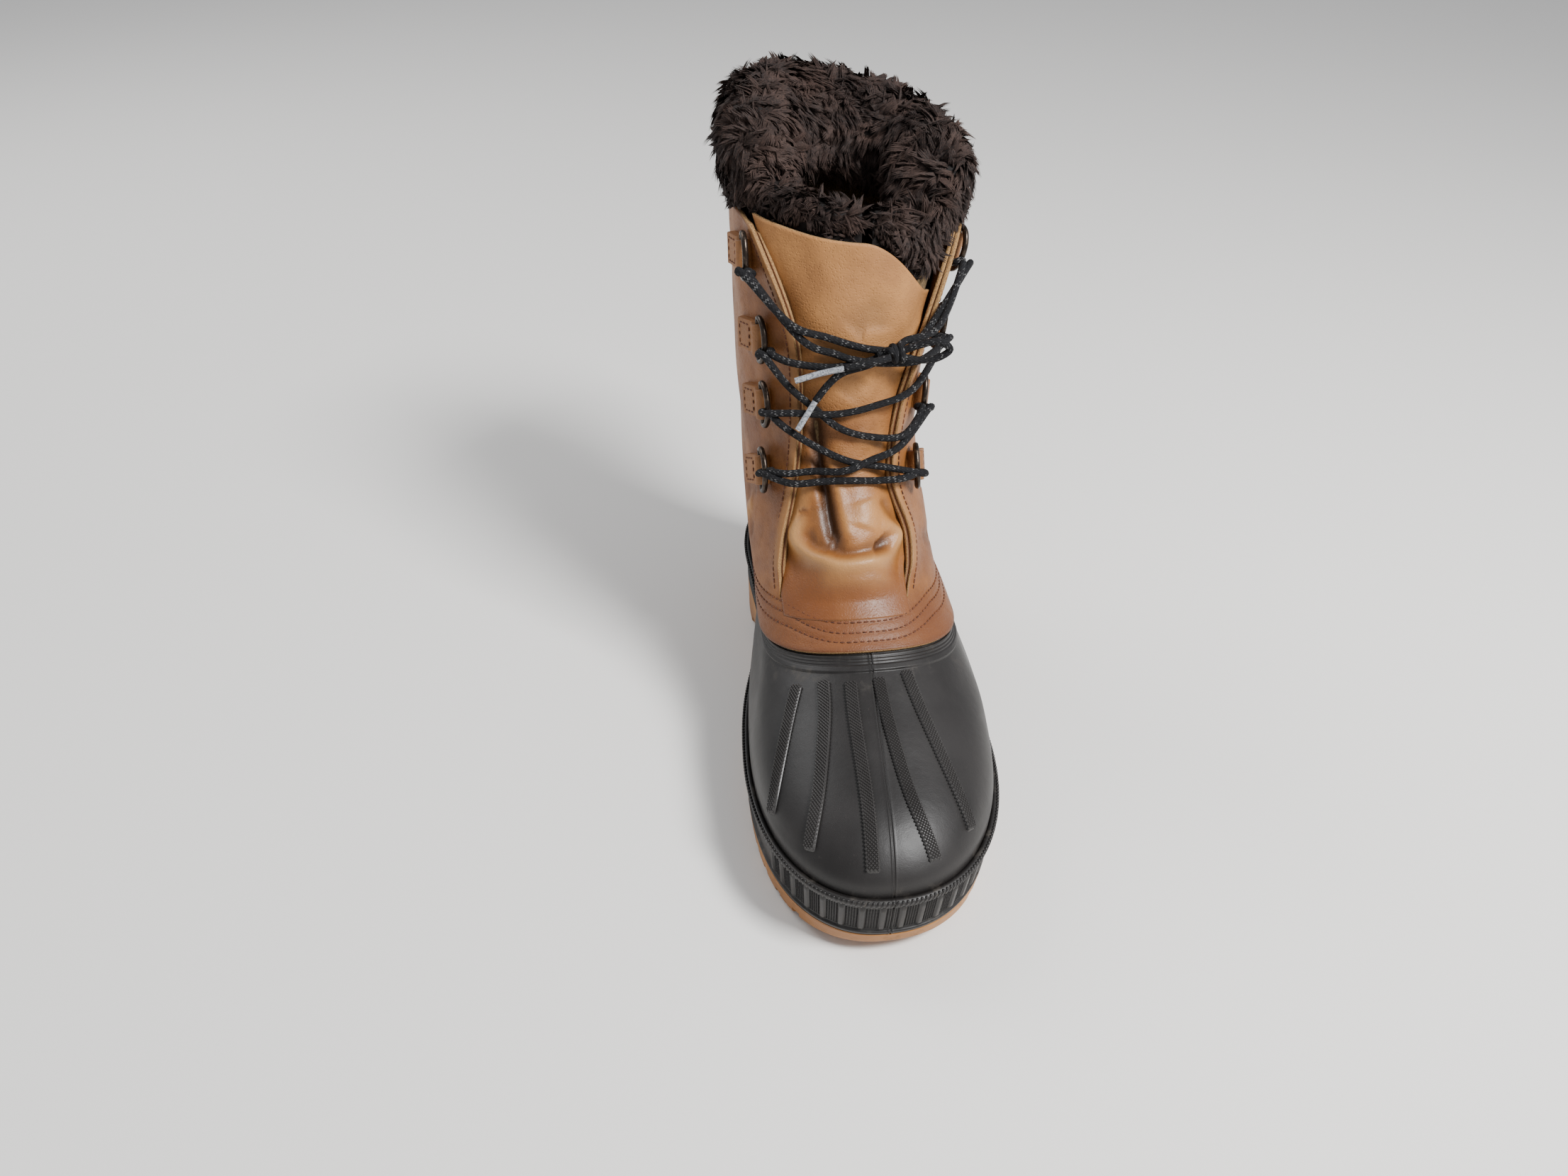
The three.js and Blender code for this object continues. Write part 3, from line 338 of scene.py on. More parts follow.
def flare(v, u):
    """How far the quarters stand off the last: most at their front edge."""
    v, u = np.broadcast_arrays(np.asarray(v, float), np.asarray(u, float))
    edge = np.where(u < 0, throat_edge(v, -1), throat_edge(v, 1))
    beyond = np.linalg.norm(last_point(v, u) - last_point(v, edge), axis=-1) * (np.abs(u) > np.abs(edge))
    return edge_flare * ramp(7, 7.6, v) * np.exp(-((beyond / flare_reach) ** 2))


def around(count, tight=0.055):
    """Places round the last, closer together at the front."""
    t = 2 * np.arange(count) / count
    u = np.where(t <= 1, t, t - 2)
    return u - np.sign(u) * tight * np.sin(math.pi * np.abs(u))


print("front of the collar:", np.round(last_point(6, 0), 1))

# %% [markdown]
# Every surface below starts as a grid of points. A wall has two such grids, one for its face and one for
# its back, joined along their rims, so that it is a closed body with a real thickness. The rows may close
# on themselves, as round a shaft. Each mesh carries a UV map in millimetres of the surface, so that a
# weave or a grain has its real size.

# %% Helpers that make meshes
made_pieces = []


def add_piece(name, points, faces, material, replaces=(), uv=None, turns=False, marks=None, sharp=None,
              second=None):
    """A mesh from points in millimetres, as a finished piece at the origin that rides on the boot.

    turns says that uv's second number is a share of a full turn, marks are numbers for each point that
    the material reads, and second is another material with the number of the first face that takes it.
    """
    faces = [list(map(int, face)) for face in faces]
    used, corner = np.unique([i for face in faces for i in face], return_inverse=True)
    starts = np.cumsum([0] + [len(face) for face in faces])
    faces = [corner[a:b].tolist() for a, b in zip(starts, starts[1:])]
    mesh = bpy.data.meshes.new(name)
    mesh.from_pydata((np.asarray(points)[used] * MM).tolist(), [], faces)
    mesh.polygons.foreach_set("use_smooth", [True] * len(mesh.polygons))
    if uv is not None:
        uv = np.asarray(uv, dtype=float)[used]
        layer = mesh.uv_layers.new(name="surface")
        layer.data.foreach_set("uv", corner_uv(mesh, uv, turns).ravel())
    for title, values in (marks or {}).items():
        layer = mesh.attributes.new(title, "FLOAT", "POINT")
        layer.data.foreach_set("value", np.asarray(values, dtype=np.float32).ravel()[used])
    mesh.materials.append(material)
    if second is not None:
        mesh.materials.append(second[0])
        index = np.zeros(len(mesh.polygons), dtype=np.int32)
        index[second[1]:] = 1
        mesh.polygons.foreach_set("material_index", index)
    if sharp is not None:
        mesh.set_sharp_from_angle(angle=math.radians(sharp))
    piece = bpy.data.objects.new(name, mesh)
    bpy.context.scene.collection.objects.link(piece)
    dress(piece, replaces)
    return piece


def corner_uv(mesh, uv, turns):
    """A mesh's UV for each face corner. A face over a tube's seam gets one full turn at its far side."""
    vertex = np.empty(len(mesh.loops), dtype=np.int32)
    mesh.loops.foreach_get("vertex_index", vertex)
    corners = uv[vertex]
    if turns:
        face = np.repeat(np.arange(len(mesh.polygons)), [len(p.vertices) for p in mesh.polygons])
        most = np.zeros(len(mesh.polygons))
        np.maximum.at(most, face, corners[:, 1])
        corners[:, 1] += (most[face] - corners[:, 1]) > 0.5
    return corners


def dress(piece, replaces=()):
    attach(piece, "root")
    if replaces:
        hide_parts(*replaces)
    made_pieces.append(piece)
    print(f"{piece.name}: {sum(len(p.vertices) - 2 for p in piece.data.polygons)} triangles")


def grid_faces(rows, columns, wrap=False, start=0, flip=False):
    """Quads over a grid of points that is stored row by row."""
    r = np.arange(rows - 1)[:, None]
    c = np.arange(columns if wrap else columns - 1)[None, :]
    d = (c + 1) % columns
    quads = np.stack(
        [r * columns + c, r * columns + d, (r + 1) * columns + d, (r + 1) * columns + c], axis=-1
    )
    quads = quads.reshape(-1, 4) + start
    return quads[:, ::-1] if flip else quads


def wall(outer, inner, wrap=False, keep=None):
    """Points and faces of a wall between two grids, and the number of the first face of its rims.

    Rows run up and columns round. keep says which quads of the grid the wall has, all by default.
    """
    rows, columns = outer.shape[:2]
    quads = grid_faces(rows, columns, wrap)
    if keep is not None:
        quads = quads[np.asarray(keep).ravel()]
    inside = rows * columns
    start = quads.ravel()
    end = np.roll(quads, -1, axis=1).ravel()
    edges = start * inside + end
    rim = ~np.isin(end * inside + start, edges)
    a, b = start[rim], end[rim]
    rims = np.stack([b, a, a + inside, b + inside], axis=-1)
    points = np.concatenate([outer.reshape(-1, 3), inner.reshape(-1, 3)])
    return points, np.concatenate([quads, quads[:, ::-1] + inside, rims]), 2 * len(quads)


def both_faces(marks):
    """Marks of a wall's outer grid, given to its inner grid too."""
    return {name: np.concatenate([values.ravel()] * 2) for name, values in marks.items()}


def surface_uv(grid):
    """Millimetres along the rows and columns of a wall's outer grid, for both its grids."""
    across = np.linalg.norm(np.diff(grid, axis=1), axis=2)
    up = np.linalg.norm(np.diff(grid, axis=0), axis=2)
    s = np.concatenate([np.zeros((grid.shape[0], 1)), np.cumsum(across, axis=1)], axis=1)
    t = np.concatenate([np.zeros((1, grid.shape[1])), np.cumsum(up, axis=0)], axis=0)
    s = s - s[:, s.shape[1] // 2][:, None]
    return np.tile(np.stack([s, t], axis=-1).reshape(-1, 2), (2, 1))


def catmull(points, count, closed=False):
    """A smooth curve through points, resampled to evenly spaced ones."""
    p = np.asarray(points, dtype=float)
    ends = (p[-1:], p[:1], p[1:2]) if closed else (2 * p[:1] - p[1:2], 2 * p[-1:] - p[-2:-1], p[:0])
    q = np.concatenate([ends[0], p, ends[1], ends[2]])
    spans = len(p) if closed else len(p) - 1
    t = np.linspace(0, 1, 24, endpoint=False)[:, None]
    fine = [smooth(q[i], q[i + 1], q[i + 2], q[i + 3], t) for i in range(spans)]
    fine = np.concatenate(fine + [p[:1] if closed else p[-1:]])
    gone = gone_along(fine)
    wanted = np.linspace(0, gone[-1], count, endpoint=not closed)
    return np.stack([np.interp(wanted, gone, fine[:, k]) for k in range(fine.shape[1])], axis=-1)


def length_of(points):
    return float(np.linalg.norm(np.diff(points, axis=0), axis=1).sum())


def tube(path, radius, sides=10, closed=False):
    """A tube along a path, whose section doesn't twist. The radius may change along it.

    Its UV is millimetres along it and the share of a turn round it.
    """
    path = np.asarray(path, dtype=float)
    count = len(path)
    radius = np.broadcast_to(np.asarray(radius, dtype=float), (count,))
    tangent = np.gradient(path, axis=0)
    if closed:
        tangent = np.roll(path, -1, axis=0) - np.roll(path, 1, axis=0)
    tangent = unit(tangent)
    side = np.zeros_like(path)
    first = np.cross(tangent[0], [0, 0, 1.0])
    side[0] = unit(first if np.linalg.norm(first) > 0.1 else np.cross(tangent[0], [0, 1.0, 0]))
    for i in range(1, count):
        moved = side[i - 1] - tangent[i] * np.dot(side[i - 1], tangent[i])
        side[i] = moved / np.linalg.norm(moved)
    other = np.cross(tangent, side)
    turn = np.arange(sides) / sides
    angle = 2 * math.pi * turn
    ring = np.cos(angle)[None, :, None] * side[:, None] + np.sin(angle)[None, :, None] * other[:, None]
    points = (path[:, None] + ring * radius[:, None, None]).reshape(-1, 3)
    gone = gone_along(path)
    uv = np.stack(np.broadcast_arrays(gone[:, None], turn[None, :]), axis=-1).reshape(-1, 2)
    faces = [list(f) for f in grid_faces(count, sides, True)]
    last = (count - 1) * sides
    if closed:
        start = np.arange(sides)
        after = (start + 1) % sides
        faces += np.stack([last + start, last + after, after, start], axis=-1).tolist()
    else:
        faces += [list(range(sides))[::-1], list(range(last, last + sides))]
    return points, faces, uv


def joined(parts):
    """Several (points, faces) pairs as one."""
    points, faces, start = [], [], 0
    for p, f in parts:
        points.append(np.asarray(p))
        faces.extend((np.asarray(face) + start).tolist() for face in f)
        start += len(p)
    return np.concatenate(points), faces


print("helpers ready")

# %% [markdown]
# Materials are node trees. A node tree written node by node is long and hard to read, so one small class
# wraps a socket: an expression such as 1 - mask * 0.4 then adds its own Math nodes. Colours are mixed with
# a Mix node, because a Math node would turn them grey.

# %% Shader expressions
class Sum:
    """A socket of a node tree, with arithmetic."""

    def __init__(self, tree, socket):
        self.tree = tree
        self.socket = socket

    def math(self, operation, *values):
        return node(self.tree, "ShaderNodeMath", {"operation": operation}, dict(enumerate(values)))

    def __add__(self, other):
        return self.math("ADD", self, other)

    def __radd__(self, other):
        return self.math("ADD", other, self)

    def __sub__(self, other):
        return self.math("SUBTRACT", self, other)

    def __rsub__(self, other):
        return self.math("SUBTRACT", other, self)

    def __mul__(self, other):
        return self.math("MULTIPLY", self, other)

    def __rmul__(self, other):
        return self.math("MULTIPLY", other, self)

    def __truediv__(self, other):
        return self.math("DIVIDE", self, other)

    def __pow__(self, other):
        return self.math("POWER", self, other)

    def __gt__(self, other):
        return self.math("GREATER_THAN", self, other)

    def __lt__(self, other):
        return self.math("LESS_THAN", self, other)

    def size(self):
        return self.math("ABSOLUTE", self)

    def part(self):
        return self.math("FRACT", self)

    def between(self, low, high):
        """0 below low, 1 above high, and smooth between."""
        settings = {"interpolation_type": "SMOOTHSTEP"}
        return node(
            self.tree, "ShaderNodeMapRange", settings, {"Value": self, "From Min": low, "From Max": high}
        )


def node(tree, kind, settings=None, inputs=None, output=0):
    """Adds a node, sets it up, feeds its inputs with values or sockets, and returns one output."""
    made = tree.nodes.new(kind)
    for name, value in (settings or {}).items():
        if name == "stops":
            ramp_of = made.color_ramp
            while len(ramp_of.elements) < len(value):
                ramp_of.elements.new(0.5)
            for element, (place, colour) in zip(ramp_of.elements, value):
                element.position = place
                element.color = (*colour, 1)
        else:
            setattr(made, name, value)
    for name, value in (inputs or {}).items():
        socket = made.inputs[name]
        if isinstance(value, Sum):
            tree.links.new(value.socket, socket)
        else:
            socket.default_value = value
    return Sum(tree, made.outputs[output])


class Finish:
    """A material being built: its tree, its shader and the coordinates that patterns use."""

    def __init__(self, name):
        self.material = bpy.data.materials.new(name)
        self.material.use_nodes = True
        self.tree = self.material.node_tree
        self.shader = self.tree.nodes["Principled BSDF"]
        self.place = node(self.tree, "ShaderNodeTexCoord", output="Object")
        self.surface = node(self.tree, "ShaderNodeUVMap", {"uv_map": "surface"})

    def across_and_along(self):
        split = node(self.tree, "ShaderNodeSeparateXYZ", inputs={"Vector": self.surface})
        return split, Sum(self.tree, split.socket.node.outputs[1])

    def noise(self, per_mm, detail=3.0, roughness=0.55, stretch=None, on=None):
        """Noise whose cells are about 1 / per_mm across."""
        scale = per_mm / MM if on is None else per_mm
        where = self.place if on is None else on
        if stretch:
            where = node(self.tree, "ShaderNodeMapping", inputs={"Vector": where, "Scale": stretch})
        inputs = {"Vector": where, "Scale": scale, "Detail": detail, "Roughness": roughness}
        return node(self.tree, "ShaderNodeTexNoise", inputs=inputs)

    def cells(self, per_mm, feature="F1", on=None):
        scale = per_mm / MM if on is None else per_mm
        where = self.place if on is None else on
        return node(
            self.tree, "ShaderNodeTexVoronoi", {"feature": feature}, {"Vector": where, "Scale": scale}
        )

    def mark(self, name):
        """A painted mask that the mesh carries, one number for each point."""
        return node(self.tree, "ShaderNodeAttribute", {"attribute_name": name}, output="Fac")

    def blend(self, share, first, second):
        """A colour between two colours, each a triple or a socket."""
        made = self.tree.nodes.new("ShaderNodeMix")
        made.data_type = "RGBA"
        for socket, value in ((made.inputs[0], share), (made.inputs[6], first), (made.inputs[7], second)):
            if isinstance(value, Sum):
                self.tree.links.new(value.socket, socket)
            else:
                socket.default_value = value if np.isscalar(value) else (*value, 1)
        return Sum(self.tree, made.outputs[2])

    def bump(self, height, distance_mm, strength=1.0):
        made = {"Height": height, "Distance": distance_mm * MM, "Strength": strength}
        return node(self.tree, "ShaderNodeBump", inputs=made)

    def finish(self, colour, roughness, normal=None, **plain):
        for name, value in (("Base Color", colour), ("Roughness", roughness), ("Normal", normal)):
            socket = self.shader.inputs[name]
            if isinstance(value, Sum):
                self.tree.links.new(value.socket, socket)
            elif value is not None:
                socket.default_value = value if np.isscalar(value) else (*value, 1)
        for name, value in plain.items():
            self.shader.inputs[name.replace("_", " ")].default_value = value
        return self.material


def rgb(code):
    """A colour from its sRGB hex code, as linear red, green and blue."""
    parts = [int(code[i:i + 2], 16) / 255 for i in (0, 2, 4)]
    return tuple(c / 12.92 if c <= 0.04045 else ((c + 0.055) / 1.055) ** 2.4 for c in parts)


print("shader helpers ready")

# %% [markdown]
# Rubber. The shell is moulded black rubber with a satin skin: a soft, wide highlight, a faint cloudiness
# where it has been wiped, fine dust in the low places and a few scuffs. The colour hardly changes, so the
# interest is all in roughness and a very fine bump.

# %% Rubber, gum and metal
def moulded_rubber(name, dark, light, shine):
    f = Finish(name)
    cloud = f.noise(0.018, 4, 0.6).between(0.35, 0.7)
    scuffs = f.noise(0.5, 5, 0.7, stretch=(1, 0.22, 1)).between(0.62, 0.74)
    dust = f.noise(0.09, 6, 0.7).between(0.5, 0.8) * f.mark("dust")
    colour = f.blend(cloud * 0.6, dark, light)
    colour = f.blend(dust * 0.5 + scuffs * 0.07, colour, rgb("6c655c"))
    rough = shine + cloud * 0.1 + scuffs * 0.12 + dust * 0.25
    grain = f.noise(1.6, 4, 0.6) * 0.6 + f.noise(0.12, 3) * 2.0
    return f.finish(colour, rough, f.bump(grain, 0.08), Specular_IOR_Level=0.4)


def make_gum_rubber():
    f = Finish("gum_rubber")
    cloud = f.noise(0.03, 4, 0.6).between(0.3, 0.7)
    dirt = f.noise(0.12, 6, 0.7).between(0.5, 0.75)
    colour = f.blend(cloud, rgb("8f5d2c"), rgb("a9743c"))
    colour = f.blend(dirt * 0.55, colour, rgb("5a452f"))
    return f.finish(colour, 0.5 + dirt * 0.25, f.bump(f.noise(1.2, 4), 0.1))


def make_dark_metal():
    f = Finish("dark_metal")
    wear = f.noise(0.45, 5, 0.65).between(0.5, 0.7)
    colour = f.blend(wear * 0.6, rgb("3a322c"), rgb("6a5a4a"))
    f.shader.inputs["Metallic"].default_value = 0.85
    return f.finish(colour, 0.3 + wear * 0.2, f.bump(f.noise(1.2, 3), 0.04))


black_rubber = moulded_rubber("black_rubber", rgb("1a1817"), rgb("262322"), 0.4)
# A lighter copy of the shell's rubber for the toe ribs and their knurls: painted light, as if their facets
# catch the light.
lit_rib_rubber = moulded_rubber("lit_rib_rubber", rgb("2c2a29"), rgb("3b3938"), 0.34)
gum_rubber = make_gum_rubber()
dark_metal = make_dark_metal()

# %% [markdown]
# Leather. The tongue is a waxed honey leather that shines where it bulges and is matt and pebbled higher
# up; the quarters are the same hide, darker and redder low down where it has been wetted. Pores, fine
# creases and broad clouds of colour come from three sizes of noise. The cut edges are raw, paler and
# fuzzy. Masks that the meshes carry say where the leather is stretched, creased, dirty or in shade: the
# shade mask is painted shade in the creases and under the quarters' edges, and dirt low on the strip.

# %% Leather, felt and thread
def waxed_leather(name, light, dark, shine, seed):
    f = Finish(name)
    moved = node(f.tree, "ShaderNodeMapping", inputs={"Vector": f.place, "Location": (seed, seed * 0.7, 0)})
    f.place = moved
    cloud = f.noise(0.022, 5, 0.62).between(0.34, 0.68)
    spots = f.noise(0.16, 5, 0.7).between(0.45, 0.75)
    pores = f.cells(0.85).between(0.0, 0.5)
    wrinkles = f.noise(0.5, 5, 0.6, stretch=(1, 1, 2.2))
    colour = f.blend(cloud, dark, light)
    colour = f.blend(spots * 0.3, colour, tuple(c * 0.66 for c in dark))
    # Painted shade in creases and under the quarters' edges, and dirt low on the strip and at the tongue's
    # base: this mask darkens the leather.
    colour = f.blend(f.mark("shade"), colour, tuple(c * 0.3 for c in dark))
    colour = f.blend(f.mark("red"), colour, rgb("6b3a18"))
    colour = f.blend(f.mark("pale"), colour, rgb("b98a55"))
    matt = f.mark("matt")
    rough = shine + spots * 0.1 + matt * 0.24 + (1 - pores) * 0.08
    height = pores * (0.35 + matt * 0.5) + wrinkles * 1.1 + f.noise(0.11, 3) * 1.6
    return f.finish(colour, rough, f.bump(height, 0.17), Specular_IOR_Level=0.5)


def make_raw_edge():
    f = Finish("raw_edge")
    fibres = f.noise(1.4, 6, 0.75)
    colour = f.blend(fibres.between(0.35, 0.65), rgb("7a5733"), rgb("b18c5c"))
    return f.finish(colour, 0.95, f.bump(fibres, 0.5))


def make_felt():
    f = Finish("wool_felt")
    fibres = f.noise(0.9, 6, 0.75, stretch=(1, 1, 0.5))
    colour = f.blend(fibres.between(0.35, 0.65), rgb("5c4a33"), rgb("8a7350"))
    return f.finish(colour, 0.97, f.bump(fibres, 0.6))


def make_thread():
    f = Finish("thread")
    colour = f.blend(f.noise(1.2, 3).between(0.4, 0.6), rgb("42210f"), rgb("6b3a1f"))
    return f.finish(colour, 0.75, f.bump(f.noise(2.5, 2), 0.1))


tongue_leather = waxed_leather("tongue_leather", rgb("a9713a"), rgb("7f4d21"), 0.42, 0.0)
quarter_leather = waxed_leather("quarter_leather", rgb("8f5a28"), rgb("6b3d18"), 0.42, 0.4)
tab_leather = waxed_leather("tab_leather", rgb("965f2c"), rgb("70411b"), 0.45, 0.9)
raw_edge = make_raw_edge()
felt = make_felt()
thread = make_thread()

# %% [markdown]
# The lace is a round braid of charcoal yarn with a few lighter yarns, which show as a herringbone of
# short flecks. Its UV map runs along the cord in millimetres and round it from 0 to 1, so two slanted
# stripe patterns that run opposite ways give the braid. The pile is a mass of fine fibres: each strand
# gets a slightly different brown from noise in space.

# %% Lace, aglet and pile
def make_braid():
    f = Finish("braided_lace")
    along, turn = f.across_and_along()
    pitch = 2.6
    lane = turn * 8.0
    slant = (lane.part() - 0.5).size() * 2.0
    chevron = (along / pitch + slant * 0.55).part()
    yarn = (chevron - 0.5).size() * 2.0
    gap = (slant - 0.5).size() * 2.0
    relief = 1 - yarn * 0.7 - (1 - gap).between(0.75, 1.0) * 0.3
    fleck = f.cells(
        0.42, on=node(f.tree, "ShaderNodeMapping", inputs={"Vector": f.surface, "Scale": (1.0, 9.0, 1.0)})
    )
    light = (chevron.between(0.3, 0.5) - chevron.between(0.5, 0.72)) * fleck.between(0.55, 0.8)
    # Painted shade: the lace is darker where the relief is low, down between its yarns.
    colour = f.blend(relief, rgb("070708"), rgb("19191c"))
    colour = f.blend(light * 0.55, colour, rgb("8d8c8b"))
    return f.finish(colour, 0.82, f.bump(relief, 0.3), Specular_IOR_Level=0.25)


def make_aglet_film():
    f = Finish("aglet_film")
    wear = f.noise(1.1, 4, 0.7).between(0.42, 0.6)
    colour = f.blend(wear, rgb("b4b7bc"), rgb("6d7076"))
    f.shader.inputs["Metallic"].default_value = 0.3
    return f.finish(colour, 0.28 + wear * 0.2, f.bump(f.noise(0.8, 3), 0.08))


def pile_fibre(name, dark, light):
    f = Finish(name)
    patch = f.noise(0.06, 3, 0.5).between(0.35, 0.7)
    single = f.noise(1.3, 2, 0.5).between(0.35, 0.7)
    colour = f.blend(patch * 0.5 + single * 0.5, dark, light)
    return f.finish(colour, 0.78, None, Specular_IOR_Level=0.3)


braid = make_braid()
aglet_film = make_aglet_film()
pile_strand = pile_fibre("pile_strand", rgb("1a1210"), rgb("44332c"))
# The pile's ground is a darker copy of the strands' colours: painted shade deep in the pile, under the locks.
shaded_pile_ground = pile_fibre("shaded_pile_ground", rgb("0d0908"), rgb("1b1310"))
print("materials:", len(bpy.data.materials))

# %% [markdown]
# Stitches, knurls, the strands of the rope bead and the fibres of the pile are all one small thing
# repeated along a line or over a surface. One Geometry Nodes tree does them all. It takes a cloud of
# points that carry three attributes: out, the way off the surface; lean, the way the small thing lies;
# and size, its scale along its own three axes. It puts a copy at each point, makes the copies real and
# gives them a material.

# %% The tree that repeats a small piece
def repeater_tree():
    tree = bpy.data.node_groups.new("repeat_on_points", "GeometryNodeTree")
    face = tree.interface
    face.new_socket(name="Points", in_out="INPUT", socket_type="NodeSocketGeometry")
    face.new_socket(name="Small piece", in_out="INPUT", socket_type="NodeSocketObject")
    face.new_socket(name="Scale", in_out="INPUT", socket_type="NodeSocketFloat").default_value = 1.0
    face.new_socket(name="Uneven", in_out="INPUT", socket_type="NodeSocketFloat").default_value = 0.0
    face.new_socket(name="Seed", in_out="INPUT", socket_type="NodeSocketInt").default_value = 7
    face.new_socket(name="Material", in_out="INPUT", socket_type="NodeSocketMaterial")
    face.new_socket(name="Pieces", in_out="OUTPUT", socket_type="NodeSocketGeometry")
    start = tree.nodes.new("NodeGroupInput")
    end = tree.nodes.new("NodeGroupOutput")
    given = {socket.name: Sum(tree, socket) for socket in start.outputs if socket.name}

    def attribute(name):
        return node(tree, "GeometryNodeInputNamedAttribute", {"data_type": "FLOAT_VECTOR"}, {"Name": name})

    shape = node(tree, "GeometryNodeObjectInfo", inputs={"Object": given["Small piece"]})
    shape = Sum(tree, shape.socket.node.outputs["Geometry"])
    axes = {"primary_axis": "Z", "secondary_axis": "X"}
    turn = node(tree, "FunctionNodeAxesToRotation", axes, {0: attribute("out"), 1: attribute("lean")})
    low = 1 - given["Uneven"]
    high = 1 + given["Uneven"]
    chance = node(tree, "FunctionNodeRandomValue", {"data_type": "FLOAT"}, {"Seed": given["Seed"]}, 1)
    random = chance.socket.node
    tree.links.new(low.socket, random.inputs[2])
    tree.links.new(high.socket, random.inputs[3])
    even = node(
        tree, "ShaderNodeVectorMath", {"operation": "SCALE"},
        {0: attribute("size"), "Scale": given["Scale"]}
    )
    scaled = node(tree, "ShaderNodeVectorMath", {"operation": "SCALE"}, {0: even, "Scale": chance})
    copies = node(tree, "GeometryNodeInstanceOnPoints", inputs={
        "Points": given["Points"], "Instance": shape, "Rotation": turn, "Scale": scaled})
    real = node(tree, "GeometryNodeRealizeInstances", inputs={"Geometry": copies})
    painted = node(tree, "GeometryNodeSetMaterial", inputs={"Geometry": real, "Material": given["Material"]})
    tree.links.new(painted.socket, end.inputs[0])
    return tree


repeater = repeater_tree()


def repeat(
    name, small, points, out, lean, size, material, uneven=0.0, seed=7, replaces=(), smooth_faces=True
):
    """Copies of a small piece at points in millimetres, as one finished piece."""
    cloud = bpy.data.meshes.new(name + "_points")
    cloud.from_pydata((np.asarray(points) * MM).tolist(), [], [])
    for title, values in (("out", out), ("lean", lean), ("size", size)):
        layer = cloud.attributes.new(title, "FLOAT_VECTOR", "POINT")
        layer.data.foreach_set("vector", np.broadcast_to(values, np.shape(points)).astype(np.float32).ravel())
    carrier = bpy.data.objects.new(name, cloud)
    bpy.context.scene.collection.objects.link(carrier)
    modifier = carrier.modifiers.new("repeat", "NODES")
    modifier.node_group = repeater
    sockets = {item.name: item.identifier for item in repeater.interface.items_tree if item.in_out == "INPUT"}
    modifier[sockets["Small piece"]] = small
    modifier[sockets["Scale"]] = MM
    modifier[sockets["Uneven"]] = uneven
    modifier[sockets["Seed"]] = seed
    modifier[sockets["Material"]] = material
    seen = carrier.evaluated_get(bpy.context.evaluated_depsgraph_get())
    result = bpy.data.meshes.new_from_object(seen)
    carrier.modifiers.clear()
    carrier.data = result
    carrier.data.name = name
    if smooth_faces:
        result.polygons.foreach_set("use_smooth", [True] * len(result.polygons))
    dress(carrier, replaces)
    return carrier


def small_piece(name, points, faces):
    """A small shape to repeat, kept out of the scene's own collection."""
    mesh = bpy.data.meshes.new(name)
    mesh.from_pydata(
        [tuple(p) for p in np.asarray(points).tolist()], [], [tuple(int(i) for i in f) for f in faces]
    )
    return bpy.data.objects.new(name, mesh)


def knob_shape():
    """A square pyramid with a blunt top, one across and one high, without a base."""
    points = [(-0.5, 0, 0), (0, -0.5, 0), (0.5, 0, 0), (0, 0.5, 0)]
    points += [(x * 0.3, y * 0.3, 1) for x, y, _ in points[:4]]
    return points, [(0, 1, 5, 4), (1, 2, 6, 5), (2, 3, 7, 6), (3, 0, 4, 7), (4, 5, 6, 7), (3, 2, 1, 0)]


def capsule_shape(sides=6, rings=4):
    """A closed grain of rice along X, one long and one thick."""
    points, faces = [(-0.5, 0, 0)], []
    for r in range(1, rings):
        x = -0.5 * math.cos(math.pi * r / rings)
        thick = 0.5 * math.sin(math.pi * r / rings) ** 0.6
        for a in 2 * math.pi * np.arange(sides) / sides:
            points.append((x, thick * math.cos(a), thick * math.sin(a)))
    points.append((0.5, 0, 0))
    for k in range(sides):
        n = (k + 1) % sides
        faces.append((0, 1 + n, 1 + k))
        for r in range(rings - 2):
            a = 1 + r * sides
            faces.append((a + k, a + n, a + sides + n, a + sides + k))
        a = 1 + (rings - 2) * sides
        faces.append((a + k, a + n, len(points) - 1))
    return points, faces


knob = small_piece("knob", *knob_shape())
grain = small_piece("grain", *capsule_shape())
print("small pieces:", knob.name, grain.name)

# %% [markdown]
# The studio is a pale floor, one large soft light in front and to the right, and a pale world, so that
# the rubber gets one wide highlight and the leather's folds get soft shade.

# %% Floor and light
def studio():
    mesh = bpy.data.meshes.new("floor")
    reach = 6.0
    mesh.from_pydata(
        [(-reach, -reach, 0), (reach, -reach, 0), (reach, reach, 0), (-reach, reach, 0)], [], [(0, 1, 2, 3)]
    )
    f = Finish("floor")
    mesh.materials.append(f.finish(rgb("eceae6"), 0.9))
    floor = bpy.data.objects.new("floor", mesh)
    bpy.context.scene.collection.objects.link(floor)
    world = bpy.data.worlds.new("studio")
    world.use_nodes = True
    world.node_tree.nodes["Background"].inputs["Color"].default_value = (0.93, 0.95, 1.0, 1)
    world.node_tree.nodes["Background"].inputs["Strength"].default_value = 0.5
    bpy.context.scene.world = world
    for name, place, power, size in (
        ("key", (0.75, -0.75, 1.35), 46, 0.45),
        ("rim", (-0.9, 0.7, 1.1), 9, 0.8),
    ):
        data = bpy.data.lights.new(name, "AREA")
        data.energy = power
        data.size = size
        light = bpy.data.objects.new(name, data)
        light.location = place
        aim = Vector((0, -0.1, 0.12)) - Vector(place)
        light.rotation_euler = aim.to_track_quat("-Z", "Y").to_euler()
        bpy.context.scene.collection.objects.link(light)


studio()

# %% [markdown]
# The lace comes first, because a free cord has a real length, which is printed. The path
# is the one of the solids: a bar between the two lowest rings, then crossings up to the knot. Its points
# are given on the tongue and the quarters: a level, a share of half the ball width to the side,
# and how far above the lowest strand it lies.

